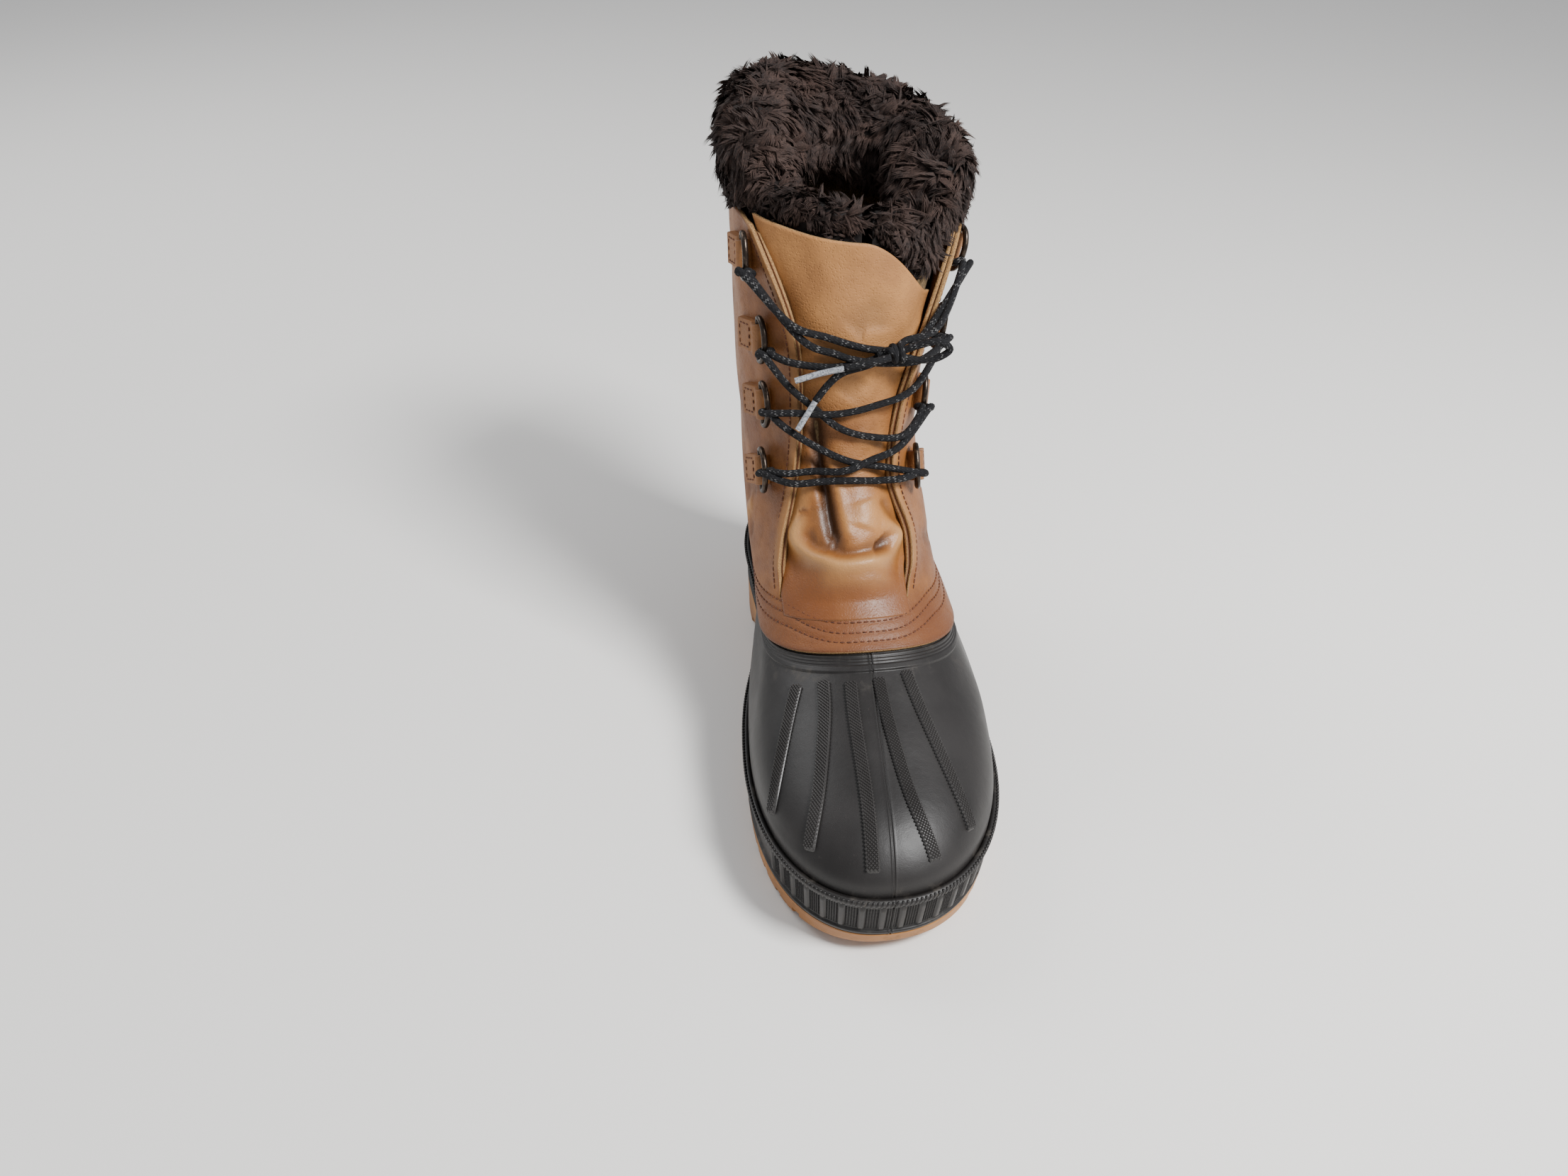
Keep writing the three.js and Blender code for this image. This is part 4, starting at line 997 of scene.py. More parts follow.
# %% Rings and the lace's path
ring_levels = [8.98, 9.98, 10.8, 11.62]
sides = {"inner": -1, "outer": 1}


def tongue_off(v, share):
    """How far the tongue's outer face stands off the last."""
    under = ramp(7.2, 7.9, v)
    base = (clearance + leather_wall) * (1 - under) - clearance * under
    crown = np.clip(1 - 1.35 * share * share, 0, None) ** 1.2
    return base + tongue_at(v)["bulge"] * bulge_unit * crown


def over_front(v, aside, above=0.0):
    """A point over the tongue or the quarters, where a strand of the lace lies."""
    side = -1 if aside < 0 else 1
    u = place_at(v, aside)
    row = tongue_at(v)
    share = np.minimum(np.abs(aside) / (row["inner"] if side < 0 else row["outer"]), 1)
    edge = np.abs(throat_edge(v, side))
    past_tongue = ramp(0.7, 0.95, np.abs(u) / edge)
    quarter = clearance + leather_wall + flare(v, u)
    surface = tongue_off(v, share) * (1 - past_tongue) + quarter * past_tongue
    return off_point(v, u, surface + lace_slack + lace_diameter / 2 + above)


def ring_frame(side, v):
    """The middle of a ring's bar, and the ways up, to the throat and out."""
    setback = top_ring_setback if v == ring_levels[-1] else ring_setback
    u = walk(v, float(throat_edge(v, side)), setback)
    out = last_normal(v, u)
    up = unit(off_point(v + 0.15, u, 0) - off_point(v - 0.15, u, 0))
    forward = unit(-side * np.cross(up, out))
    lift = 3 * clearance + leather_wall + tab_layer + ring_wire / 2
    return {"middle": off_point(v, u, lift), "up": up, "forward": forward, "out": out, "lift": lift}


def swung(f):
    """A ring's frame with its front swung off the leather."""
    forward = f["forward"] * math.cos(ring_tilt) + f["out"] * math.sin(ring_tilt)
    out = f["out"] * math.cos(ring_tilt) - f["forward"] * math.sin(ring_tilt)
    return {**f, "forward": forward, "out": out}


def in_frame(f, up, forward, out):
    return f["middle"] + f["up"] * up + f["forward"] * forward + f["out"] * out


ring_frames = {name: [swung(ring_frame(side, v)) for v in ring_levels] for name, side in sides.items()}

strands = [
    {
        "from": ("inner", 0, 1), "to": ("outer", 0, 3),
        "via": [(9.0, -0.36, 2.6), (9.08, -0.17), (9.09, 0.01), (9.04, 0.2), (9.0, 0.34, 2.3)]
    },
    {
        "from": ("inner", 0, 0), "to": ("outer", 1, 5),
        "via": [
            (9.15, -0.38, 2.6), (9.22, -0.25, 0.5), (9.25, -0.04, 1.2), (9.38, 0.15, 1.6), (9.52, 0.34, 2)
        ]
    },
    {
        "from": ("outer", 0, 3), "to": ("inner", 1, 4),
        "via": [(9.22, 0.27, 0.5), (9.38, 0.01), (9.57, -0.21, 0.5), (9.8, -0.38, 2)]
    },
    {
        "from": ("inner", 1, 2), "to": ("outer", 2, 5),
        "via": [(10.04, -0.35, 1), (10.06, -0.1, 0.5), (10.14, 0.17, 1), (10.3, 0.42, 3.5)]
    },
    {
        "from": ("outer", 1, 5), "to": ("inner", 2, 5),
        "via": [(9.66, 0.36, 2), (9.72, 0.15, 0.5), (9.87, -0.07, 0.5), (10.12, -0.25, 1), (10.4, -0.4, 2.5)]
    },
    {
        "from": ("inner", 2, 4), "to": ("outer", 3, 7),
        "via": [(10.68, -0.4, 1), (10.66, -0.19, 0.5), (10.71, 0.01, 0.8), (10.79, 0.22, 1), (10.9, 0.48, 4)]
    },
    {
        "from": ("outer", 2, 4), "to": ("inner", 3, 7),
        "via": [
            (10.64, 0.48, 3), (10.68, 0.25, 0.5), (10.76, 0.01, 0.8), (10.83, -0.13, 0.5),
            (10.98, -0.36, 2.5)
        ]
    },
]
ties = [
    {
        "from": ("inner", 3, 6),
        "via": [(11.14, -0.42, 3), (11.02, -0.2), (10.92, 0.03, 0.6), (10.86, 0.2, 1.2), (10.84, 0.27, 3.0)]
    },
    {"from": ("outer", 3, 6), "via": [(11.02, 0.58, 4), (10.92, 0.38, 1.5), (10.84, 0.28, 3.5)]},
]
knot_place = over_front(10.84, 0.27, 6.6)
loop_reach = 24.6
loop_shape = [(0.13, 0, 0.07), (0.43, 0.06, 0.2), (0.76, 0.1, 0.27), (1, 0.1, 0.09), (0.76, 0.08, -0.1),
              (0.43, 0.04, -0.14), (0.13, 0, -0.09)]
end_points = {
    "upper": [(10.82, 0.2, 9), (10.78, 0.08, 9), (10.71, -0.07, 7.4)],
    "lower": [(10.78, 0.2, 5), (10.71, 0.06, 5), (10.63, -0.08, 4.6), (10.48, -0.16, 3.8), (10.26, -0.23, 5)],
}
aglet_points = {
    "upper": [(10.7, -0.077, 7.2), (10.61, -0.215, 5.4), (10.49, -0.35, 4.4)],
    "lower": [(10.24, -0.235, 5.2), (10.05, -0.275, 6.8), (9.85, -0.312, 6.4)],
}


def leg(place, out):
    """Where a strand passes in front of its ring: over the wire, or under it."""
    name, index, drop = place
    reach = ring_depth - ring_wire / 2 + lace_diameter / 2 + clearance
    return in_frame(ring_frames[name][index], -drop, reach + 0.6, out)


def through_ring(arriving, leaving):
    """The turn of the lace round a ring's wire, from above it, through the ring, to below it."""
    f = ring_frames[arriving[0]][arriving[1]]
    middle = -(arriving[2] + leaving[2]) / 2
    wire = ring_depth - ring_wire
    gap = (ring_wire + lace_diameter) / 2 + 0.2
    top = in_frame(f, -arriving[2], wire + 0.4, gap)
    hole = in_frame(f, middle, wire - gap, 0)
    under = in_frame(f, -leaving[2], wire + 0.4, -gap)
    return [top, hole, under]


def lace_route():
    """The whole lace from the knot's one side to its other, as one line of points."""
    order = [(6, True), (3, True), (2, True), (0, True), (1, False), (4, False), (5, False)]
    first, last = ties[0], ties[1]
    route = [over_front(*p) for p in reversed(first["via"])] + [leg(first["from"], 1.8)]
    here = first["from"]
    for index, backwards in order:
        strand = strands[index]
        start, end = (strand["to"], strand["from"]) if backwards else (strand["from"], strand["to"])
        via = [over_front(*p) for p in strand["via"]]
        route += through_ring(here, start) + [leg(start, -1.2)]
        route += list(reversed(via)) if backwards else via
        route.append(leg(end, 1.8))
        here = end
    route += through_ring(here, last["from"]) + [leg(last["from"], -1.2)]
    return np.array(route + [over_front(*p) for p in last["via"]])


lace_line = catmull(lace_route(), 900)
print("lace from knot round to knot:", round(length_of(lace_line)), "mm")

# %% [markdown]
# The knot is a half knot with the bow's first wrap over it: two turns of the same cord round the place
# where the strands meet. One loop of the bow is pulled out to the right; both ends go to the left, each
# with a tip of film. Loop and ends are free cords, and the length of each is printed.

# %% Lace, knot, loop and ends
def lay_lace():
    points, faces, uv = tube(lace_line, lace_diameter / 2, 10)
    add_piece("lace_cord", points, faces, braid, ("lace",), uv, True)
    turns = np.linspace(0, 1, 60)
    angle = turns * 2 * math.pi * 1.9
    wrap = np.stack([-3.2 + 6.0 * turns, 2.6 * np.cos(angle), 3.4 * np.sin(angle)], axis=-1)
    under = np.array([
        [-9, 1.5, -2.5], [-6, 0, 1.5], [-3.5, -2.2, 2.2], [-1, -1.0, -1.5], [-5, 1.6, -2.6], [-10, 0.5, 0.5]
    ])
    bodies = [
        tube(knot_place + wrap, lace_diameter / 2 * 0.95, 10),
        tube(knot_place + catmull(under, 30), lace_diameter / 2, 10)
    ]
    points, faces = joined([b[:2] for b in bodies])
    add_piece("lace_knot_turns", points, faces, braid, ("lace_knot",),
              np.concatenate([b[2] for b in bodies]), True)


def free_cord(name, node_name, path, radius):
    """A free cord along a path in millimetres."""
    points, faces, uv = tube(path, radius, 10)
    piece = add_piece(name, points, faces, braid, (node_name,), uv, True)
    print(name, "is", round(length_of(path), 1), "mm long")


def lay_ends():
    shape = np.array([(across, -front, up) for across, front, up in loop_shape])
    free_cord(
        "bow_loop", "lace_loop", catmull(knot_place + shape * loop_reach, 60), lace_diameter / 2
    )
    for name, points in end_points.items():
        path = catmull([over_front(*p) for p in points + aglet_points[name]], 80)
        start = int(np.argmin(np.linalg.norm(path - over_front(*aglet_points[name][0]), axis=1)))
        tip_line = path[start:]
        made, faces, uv = tube(tip_line, aglet_diameter / 2, 12)
        tip = add_piece(
            f"aglet_tip_{name}", made, faces, aglet_film, (f"aglet_{name}",), uv, True, sharp=50
        )
        radius = np.where(np.arange(80) < start, lace_diameter / 2, aglet_diameter / 2 - 0.2)
        free_cord(f"lace_free_{name}", f"lace_end_{name}", path, radius)


lay_lace()
lay_ends()

# %% [markdown]
# The rubber shell is one moulding. Its toe carries five raised, knurled ribs that fan out from the
# collar, a thin flash line runs down its middle where the mould parted, and under the leather it has a
# thicker collar with three fine grooves. The shell is a fine grid of the form function with the flash and
# the grooves as steps of its offset.

# %% Shell of black rubber
collar_level = 5.62
collar_top = 5.97


def front_distance(v, u):
    """Distance round the last from its front ridge, in millimetres, signed."""
    p = last_point(v, u)
    return np.sign(u) * np.linalg.norm(p - last_point(v, 0 * np.asarray(u)), axis=-1)


def flash_line(distance):
    return 0.28 * np.exp(-((np.abs(distance) - 0.75) / 0.3) ** 2) - 0.35 * np.exp(-((distance / 0.35) ** 2))


def shell_offset(v, u):
    up = (v - collar_level) / (collar_top - collar_level)
    collar = collar_raise * ramp(-0.05, 0.06, up) * (1 - ramp(0.96, 1.02, up))
    grooves = sum(np.exp(-(((up - at) / 0.06) ** 2)) for at in (0.42, 0.6, 0.78))
    return collar - 0.4 * grooves * (up > 0) * (up < 1) + flash_line(front_distance(v, u)) * (np.abs(u) < 0.2)


def fine_columns(count):
    near = np.array([0.0, 0.0012, 0.0024, 0.0036, 0.005, 0.0065])
    base = around(count)
    base = base[np.abs(base) > 0.008]
    u = np.concatenate([base, near, -near[1:]])
    return np.concatenate([np.sort(u[u >= 0]), np.sort(u[u < 0])])


def rubber_shell():
    columns = fine_columns(270)
    levels = np.concatenate([
        np.linspace(0.03, 0.95, 5), np.linspace(1.0, 5.5, 60), np.linspace(5.55, 6.0, 58), [6.3, 6.95]
    ])
    v, u = np.meshgrid(levels, columns, indexing="ij")
    outer = off_point(v, u, shell_offset(v, u))
    inner = off_point(v, u, -rubber_wall + 0 * v)
    points, faces, _ = wall(outer, inner, True)
    under_collar = ramp(4.9, 5.55, v) * (1 - ramp(5.62, 5.75, v))
    dust = under_collar * 0.7 + (1 - ramp(1.0, 1.5, v)) + ramp(5.7, 5.95, v) * 0.5
    add_piece("shell_skin", points, faces, black_rubber, ("rubber_shell",),
              marks=both_faces({"dust": dust}))


rubber_shell()

# %% [markdown]
# Each rib follows a line that was drawn on the toe from above. A few steps of Newton's method find the
# place on the form under each point of the line. The rib is a small rounded bar on that line, and its
# knurling is a cloud of blunt pyramids in a diamond pattern, made by the repeating tree.

# %% Ribs and knurling of the toe
toe_ribs = [
    [(-0.58, 0.605), (-0.665, 0.663), (-0.767, 0.746), (-0.849, 0.818)],
    [(-0.384, 0.62), (-0.403, 0.697), (-0.493, 0.825), (-0.6, 0.92)],
    [(-0.179, 0.638), (-0.184, 0.713), (-0.161, 0.861), (-0.155, 0.985)],
    [(0.043, 0.638), (0.069, 0.721), (0.167, 0.869), (0.32, 0.972)],
    [(0.265, 0.62), (0.351, 0.704), (0.52, 0.834), (0.64, 0.912)],
]


rib_sunk = 0.7
knurl_room = 0.45


def place_under(plan):
    """The level and place of the form under each point of a plan line."""
    levels, places = np.meshgrid(np.linspace(1.05, 5.6, 120), np.linspace(-0.48, 0.48, 240), indexing="ij")
    seen = last_point(levels, places)[..., :2].reshape(-1, 2)
    nearest = [int(np.argmin(((seen - p) ** 2).sum(axis=1))) for p in plan]
    v, u = levels.ravel()[nearest], places.ravel()[nearest]
    for _ in range(6):
        here = last_point(v, u)[:, :2]
        by_v = (last_point(v + 0.01, u)[:, :2] - here) / 0.01
        by_u = (last_point(v, u + 0.002)[:, :2] - here) / 0.002
        area = by_v[:, 0] * by_u[:, 1] - by_v[:, 1] * by_u[:, 0]
        area = np.where(np.abs(area) < 200, 200 * np.sign(area + 1e-9), area)
        miss = plan - here
        v = np.clip(
            v + np.clip((miss[:, 0] * by_u[:, 1] - miss[:, 1] * by_u[:, 0]) / area, -0.2, 0.2), 1.02, 5.6
        )
        u = u + np.clip((by_v[:, 0] * miss[:, 1] - by_v[:, 1] * miss[:, 0]) / area, -0.02, 0.02)
    return v, u


def beside(v, u, tangent, across):
    """Places to the side of a line on the form, across millimetres from it."""
    by_v = (last_point(v + 0.01, u) - last_point(v - 0.01, u)) / 0.02
    by_u = (last_point(v, u + 0.001) - last_point(v, u - 0.001)) / 0.002
    lateral = unit(np.cross(last_normal(v, u), tangent))
    vv, uu, vu = (by_v * by_v).sum(-1), (by_u * by_u).sum(-1), (by_v * by_u).sum(-1)
    pv, pu = (lateral * by_v).sum(-1), (lateral * by_u).sum(-1)
    area = vv * uu - vu * vu
    dv, du = (pv * uu - pu * vu) / area, (pu * vv - pv * vu) / area
    return v + dv * across, u + du * across


def ribs():
    bodies, tops, outs, leans = [], [], [], []
    for line in toe_ribs:
        aside, forward = np.array(line).T
        y = forward * toe_y
        plan = catmull(np.stack([aside * half_ball + swing_x(y), y], axis=-1), 120)
        v, u = place_under(plan)
        kernel = np.ones(9) / 9
        v = np.convolve(np.pad(v, 4, mode="edge"), kernel, mode="valid")
        u = np.convolve(np.pad(u, 4, mode="edge"), kernel, mode="valid")
        centre = last_point(v, u)
        tangent = unit(np.gradient(centre, axis=0))
        gone = gone_along(centre)
        share = np.linspace(-1, 1, 11)
        rows = []
        ends = ramp(0, 2.0, gone) * ramp(0, 2.5, gone[-1] - gone)
        for s in share:
            sv, su = beside(v, u, tangent, s * rib_width / 2)
            height = -rib_sunk + (rib_raise - knurl_room + rib_sunk) * (1 - abs(s) ** 5) * ends
            rows.append(off_point(sv, su, height))
        grid = np.stack(rows, axis=0)
        points, faces, _ = wall(grid, grid - last_normal(v, u)[None] * 1.0, False)
        bodies.append((points, faces))
        pitch = 1.75
        for k in range(int((gone[-1] - 3) / (pitch / 2))):
            at = 1.6 + k * pitch / 2
            for s in ((-0.72, -0.24, 0.24, 0.72) if k % 2 else (-0.48, 0, 0.48)):
                kv = np.interp(at, gone, v)
                ku = np.interp(at, gone, u)
                t = [np.interp(at, gone, tangent[:, i]) for i in range(3)]
                sv, su = beside(kv, ku, np.array(t), s * rib_width / 2)
                tops.append(off_point(sv, su, rib_raise - 0.55 - 0.5 * abs(s) ** 5))
                outs.append(last_normal(sv, su))
                leans.append(t)
    points, faces = joined(bodies)
    add_piece("toe_rib_bars", points, faces, lit_rib_rubber)
    repeat(
        "toe_rib_knurls", knob, tops, outs, leans, (2.3, 2.0, 0.75), lit_rib_rubber, smooth_faces=False
    )


ribs()

# %% [markdown]
# Round the foot of the shell runs a moulded band. It has a plain lower lip, a sunken field, and a bead
# on top that looks like a twisted rope. Round the toe the field carries smooth upright bars with a
# fine knurled block between each two. The band's height is one level of the form, so its profile is a
# list of levels and offsets, and its columns are packed where the bars are.

# %% Band, bars and rope bead
band_out = band_wall + clearance
field = band_out - 0.9
bead_low = 1 - 2 * bead_radius / band_height
band_half = 0.5


def along_band():
    """A fine table of places and of the millimetres from the toe to each, on the outer and inner side."""
    u = np.linspace(0, 1, 1500)
    tables = {}
    for side in (-1, 1):
        p = last_point(band_half, side * u)
        tables[side] = gone_along(p)
    return u, tables


band_u, band_s = along_band()


def band_place(s):
    """The place round the band that lies s millimetres from the toe's middle, signed."""
    s = np.asarray(s, dtype=float)
    outer = np.interp(np.abs(s), band_s[1], band_u)
    inner = -np.interp(np.abs(s), band_s[-1], band_u)
    return np.where(s < 0, inner, outer)


def foxing_band():
    reach = bars_each_side * bar_pitch + 4
    fine = np.arange(0, reach, 0.4)
    outer_s, inner_s = (
        np.concatenate([fine, np.arange(reach, band_s[side][-1] - 1.5, 3.0)]) for side in (1, -1)
    )
    s = np.concatenate([outer_s, [band_s[1][-1]], -inner_s[:0:-1]])
    levels = np.concatenate([
        [0.03, 0.05], np.linspace(0.07, 0.135, 6), np.linspace(0.145, 0.83, 12), np.linspace(0.845, 0.86, 3),
        np.linspace(0.875, 1.0, 9),
    ])
    u = band_place(s)
    v, uu = np.meshgrid(levels, u, indexing="ij")
    ss = np.broadcast_to(s, v.shape)
    lip = field + (band_out + 0.4 - field) * (1 - ramp(0.108, 0.142, v)) - 0.5 * (1 - ramp(0.03, 0.06, v))
    bead_turn = np.clip((v - bead_low) / (1 - bead_low), 0, 1)
    bead_round = 0.9 * np.sin(math.pi * bead_turn) ** 0.6 - 1.5 * ramp(0.8, 1, bead_turn)
    bead = np.where(v > bead_low - 0.004, field + (band_out - field) * 0.6 + bead_round, -9)
    turn = ss / bar_pitch
    nearest = np.abs(turn - (np.floor(turn) + 0.5)) * bar_pitch
    half_bar = bar_width / 2
    bars = (1 - ramp(half_bar - 0.35, half_bar + 0.35, nearest)) * (np.abs(turn) < bars_each_side)
    bars = bars * ramp(0.14, 0.155, v) * (1 - ramp(0.8, 0.83, v))
    offset = np.maximum(lip + bars, bead) + flash_line(ss) * 1.3
    outer = off_point(v, uu, offset)
    inner = off_point(v, uu, clearance + 0 * v)
    points, faces, _ = wall(outer, inner, True)
    dust = np.maximum(1 - ramp(0.1, 0.3, v), ramp(0.8, 0.9, v)) * 0.9 + 0.25
    add_piece("band_wall", points, faces, black_rubber, ("foxing_band",),
              marks=both_faces({"dust": dust}))


def band_knurls():
    points, outs, leans = [], [], []
    pitch = 1.15
    one_level = 25.0
    for block in range(-bars_each_side + 1, bars_each_side):
        middle = block * bar_pitch
        for i in range(-2, 3):
            for j in range(13):
                v = 0.19 + j * pitch / one_level
                u = band_place(middle + i * pitch)
                points.append(off_point(v, u, field - 0.05))
                outs.append(last_normal(v, u))
                leans.append(unit(last_point(v, u + 0.002) - last_point(v, u - 0.002)))
    repeat(
        "band_knurls", knob, points, outs, leans, (1.2, 1.2, 0.5), black_rubber, smooth_faces=False
    )


def rope_bead():
    pitch = 2.05
    s = np.concatenate([
        np.arange(pitch / 2, band_s[1][-1], pitch), -np.arange(pitch / 2, band_s[-1][-1], pitch)
    ])
    u = band_place(s)
    v = 0.935 + 0 * s
    points = off_point(v, u, band_out + 0.05)
    outs = last_normal(v, u)
    along = unit(last_point(v, u + 0.002) - last_point(v, u - 0.002))
    up = unit(last_point(v + 0.02, u) - last_point(v - 0.02, u))
    lean = unit(along * 0.45 + up * 0.9)
    repeat("band_rope", grain, points, outs, lean, (3.9, 1.75, 1.9), black_rubber)


foxing_band()
band_knurls()
rope_bead()

# %% [markdown]
# The outsole is a slab of gum rubber on the shell's outline. Its underside springs up at the toe, is
# hollow under the waist and is cut into lugs by zigzag grooves. The slab, the grooves and the waist are
# three closed meshes, and Boolean modifiers take the second and third out of the first.

# %% Outsole and lugs
def slab(rings, across=14):
    """A closed body through a stack of rings, with a grid of quads over its first and last ring."""
    n = rings[0].shape[0]
    points = [np.concatenate(rings)]
    faces = [grid_faces(len(rings), n, True)]
    start = n * len(rings)
    for ring, first, flip in ((rings[0], 0, True), (rings[-1], n * (len(rings) - 1), False)):
        half = n // 2
        left = np.arange(1, half)
        right = (n - left) % n
        t = np.linspace(0, 1, across + 1)[1:-1]
        body = ring[left][:, None] * (1 - t)[None, :, None] + ring[right][:, None] * t[None, :, None]
        index = start + np.arange(body.shape[0] * (across - 1)).reshape(body.shape[0], across - 1)
        index = np.concatenate([(first + left)[:, None], index, (first + right)[:, None]], axis=1)
        points.append(body.reshape(-1, 3))
        start += body.shape[0] * (across - 1)
        quads = np.stack(
            [index[:-1, :-1], index[1:, :-1], index[1:, 1:], index[:-1, 1:]], axis=-1
        ).reshape(-1, 4)
        tip = [[first, index[0, k], index[0, k + 1]] for k in range(across)]
        tail = [[first + half, index[-1, k + 1], index[-1, k]] for k in range(across)]
        for group in (quads, np.array(tip), np.array(tail)):
            faces.append(group if not flip else group[:, ::-1])
    return np.concatenate(points), [list(map(int, f)) for group in faces for f in group]


def plain_object(name, points, faces):
    mesh = bpy.data.meshes.new(name)
    mesh.from_pydata((np.asarray(points) * MM).tolist(), [], [list(map(int, f)) for f in faces])
    made = bpy.data.objects.new(name, mesh)
    bpy.context.scene.collection.objects.link(made)
    return made


def cut_away(piece, cutters):
    """Takes closed bodies out of a piece, for good."""
    for cutter in cutters:
        tool = piece.modifiers.new(cutter.name, "BOOLEAN")
        tool.operation = "DIFFERENCE"
        tool.solver = "EXACT"
        tool.object = cutter
    result = bpy.data.meshes.new_from_object(piece.evaluated_get(bpy.context.evaluated_depsgraph_get()))
    piece.modifiers.clear()
    piece.data = result
    for cutter in cutters:
        bpy.data.objects.remove(cutter)


def finish_mesh(piece, material, sharp):
    piece.data.materials.clear()
    piece.data.materials.append(material)
    piece.data.polygons.foreach_set("use_smooth", [True] * len(piece.data.polygons))
    piece.data.set_sharp_from_angle(angle=math.radians(sharp))


def upright(outline, low, top):
    """A closed body over a plan outline from a low height up to top(y)."""
    plan = np.asarray(outline, dtype=float)
    lower = np.column_stack([plan, np.full(len(plan), low)])
    upper = np.column_stack([plan, top(plan[:, 1])])
    n = len(plan)
    sides_of = [[i, (i + 1) % n, n + (i + 1) % n, n + i] for i in range(n)]
    half = n // 2
    caps = []
    for i in range(half - 1):
        caps.append([i, n - 1 - i, n - 2 - i, i + 1])
        caps.append([n + i, n + i + 1, 2 * n - 2 - i, 2 * n - 1 - i])
    return np.concatenate([lower, upper]), sides_of + caps


def outsole():
    u = around(300)
    plan = off_point(0.05, u, sole_edge_out)
    normal = unit(last_normal(0.05, u) * [1, 1, 0])
    profile = [
        (-4.0, 0.0), (-2.6, 0.01), (-1.5, 0.07), (-0.9, 0.2), (-0.6, 0.5), (-0.25, 0.8), (0.0, 0.93),
        (-0.25, 1.0)
    ]
    rings = []
    for grow, height in profile:
        p = plan + normal * grow
        low, high = tread_z(p[:, 1]), feather_z(p[:, 1])
        rings.append(np.column_stack([p[:, 0], p[:, 1], low + (high - low) * height]))
    points, faces = slab(rings)
    sole = plain_object("gum_sole", points, faces)
    reach = ball_width * 0.62
    x = np.linspace(-reach, reach, 5)

    def zigzag(y, depth):
        front = [(a, y + (depth if i % 2 else 0)) for i, a in enumerate(x)]
        return front + [(a, b + groove_width) for a, b in reversed(front)]

    grooves = [zigzag(toe_y + 17 + i * groove_pitch, 5) for i in range(10)]
    grooves += [zigzag(heel_breast_y + 8 + i * heel_groove_pitch, 4) for i in range(4)]
    cut, cut_faces = joined([upright(g, -15, lambda y: tread_z(y) + lug_depth) for g in grooves])
    y = np.linspace(arch_front_y + 26, heel_breast_y, 24)
    waist = [(-ball_width, a) for a in y] + [(ball_width, a) for a in y[::-1]]
    hollow, hollow_faces = upright(waist, -15, lambda y: feather_z(y) - forefoot_thickness + 2.5)
    cutters = [
        plain_object("groove_cutter", cut, cut_faces), plain_object("waist_cutter", hollow, hollow_faces)
    ]
    cut_away(sole, cutters)
    finish_mesh(sole, gum_rubber, 38)
    dress(sole, ("outsole",))


outsole()

# %% [markdown]
# The leather of the shaft is one wall: a full ring in the strip above the shell, and above it two quarters
# with the throat open between them. Its columns are shared out anew at each level, so that two of them
# always run exactly along the throat's edges. The wall's rims are raw leather.

# %% Quarters, strip and backstay
over = clearance + leather_wall


def on_leather(v, u, above=0.0):
    return off_point(v, u, over + flare(v, u) + above)


def leather_normal(v, u):
    along = on_leather(v, u + 0.004) - on_leather(v, u - 0.004)
    up = on_leather(v + 0.02, u) - on_leather(v - 0.02, u)
    return unit(np.cross(along, up))


def back_of_edge(v, side, length):
    """The place a short length behind the throat's edge."""
    edge = throat_edge(v, side)
    scale = np.linalg.norm(last_point(v, edge + 0.01) - last_point(v, edge - 0.01), axis=-1) / 0.02
    return edge + side * length / scale


def crumple(p, amount):
    """The slow waves of worn leather, for points in millimetres."""
    x, y, z = p[..., 0], p[..., 1], p[..., 2]
    wide = np.sin(x * 0.11 + z * 0.07 + 1.3) * np.sin(y * 0.09 - z * 0.05)
    return amount * (wide + 0.4 * np.sin(x * 0.23 - y * 0.17 + z * 0.21))


def stroke(points, line, width, height, closed=False):
    """A soft ridge, or a trough, over points along a line of given levels and shares aside."""
    v, aside = np.array(line, dtype=float).T
    path = catmull(last_point(v, place_at(v, aside)), 70, closed)
    fade = np.ones(70) if closed else np.clip(np.sin(np.linspace(0.02, 0.98, 70) * math.pi) * 2.2, 0, 1)
    flat = points.reshape(-1, 3)
    height_at = np.zeros(len(flat))
    for start in range(0, len(flat), 4000):
        gap = np.linalg.norm(flat[start:start + 4000, None] - path[None], axis=2)
        nearest = gap.argmin(axis=1)
        height_at[start:start + 4000] = fade[nearest] * np.exp(-((gap.min(axis=1) / width) ** 2))
    return height * height_at.reshape(points.shape[:-1])


quarter_folds = [
    ([(7.9, -0.72), (7.7, -0.8), (7.6, -0.88)], 3.0, -1.3),
    ([(8.5, -0.66), (8.3, -0.76), (8.1, -0.86)], 4.0, -1.1),
    ([(8.2, -0.7), (8.0, -0.79), (7.85, -0.88)], 4.0, 1.2),
    ([(7.8, 0.62), (7.65, 0.7), (7.5, 0.8)], 3.2, -1.3),
    ([(8.5, 0.66), (8.3, 0.74), (8.0, 0.84)], 4.0, -1.0),
    ([(9.5, 0.6), (9.4, 0.7), (9.3, 0.78)], 5.0, -0.7),
]


def row_level(front, inner_side, outer_side):
    """The level of a stitch row at a place: low across the front, then up the sides and on round."""

    def at(u):
        rise = ramp(0.05, 0.3, np.abs(u)) ** 1.3
        return front + (np.where(np.asarray(u) < 0, inner_side, outer_side) - front) * rise

    return at


seam_levels = [row_level(6.63, 6.95, 6.94), row_level(6.41, 6.76, 6.75), row_level(6.21, 6.5, 6.5)]


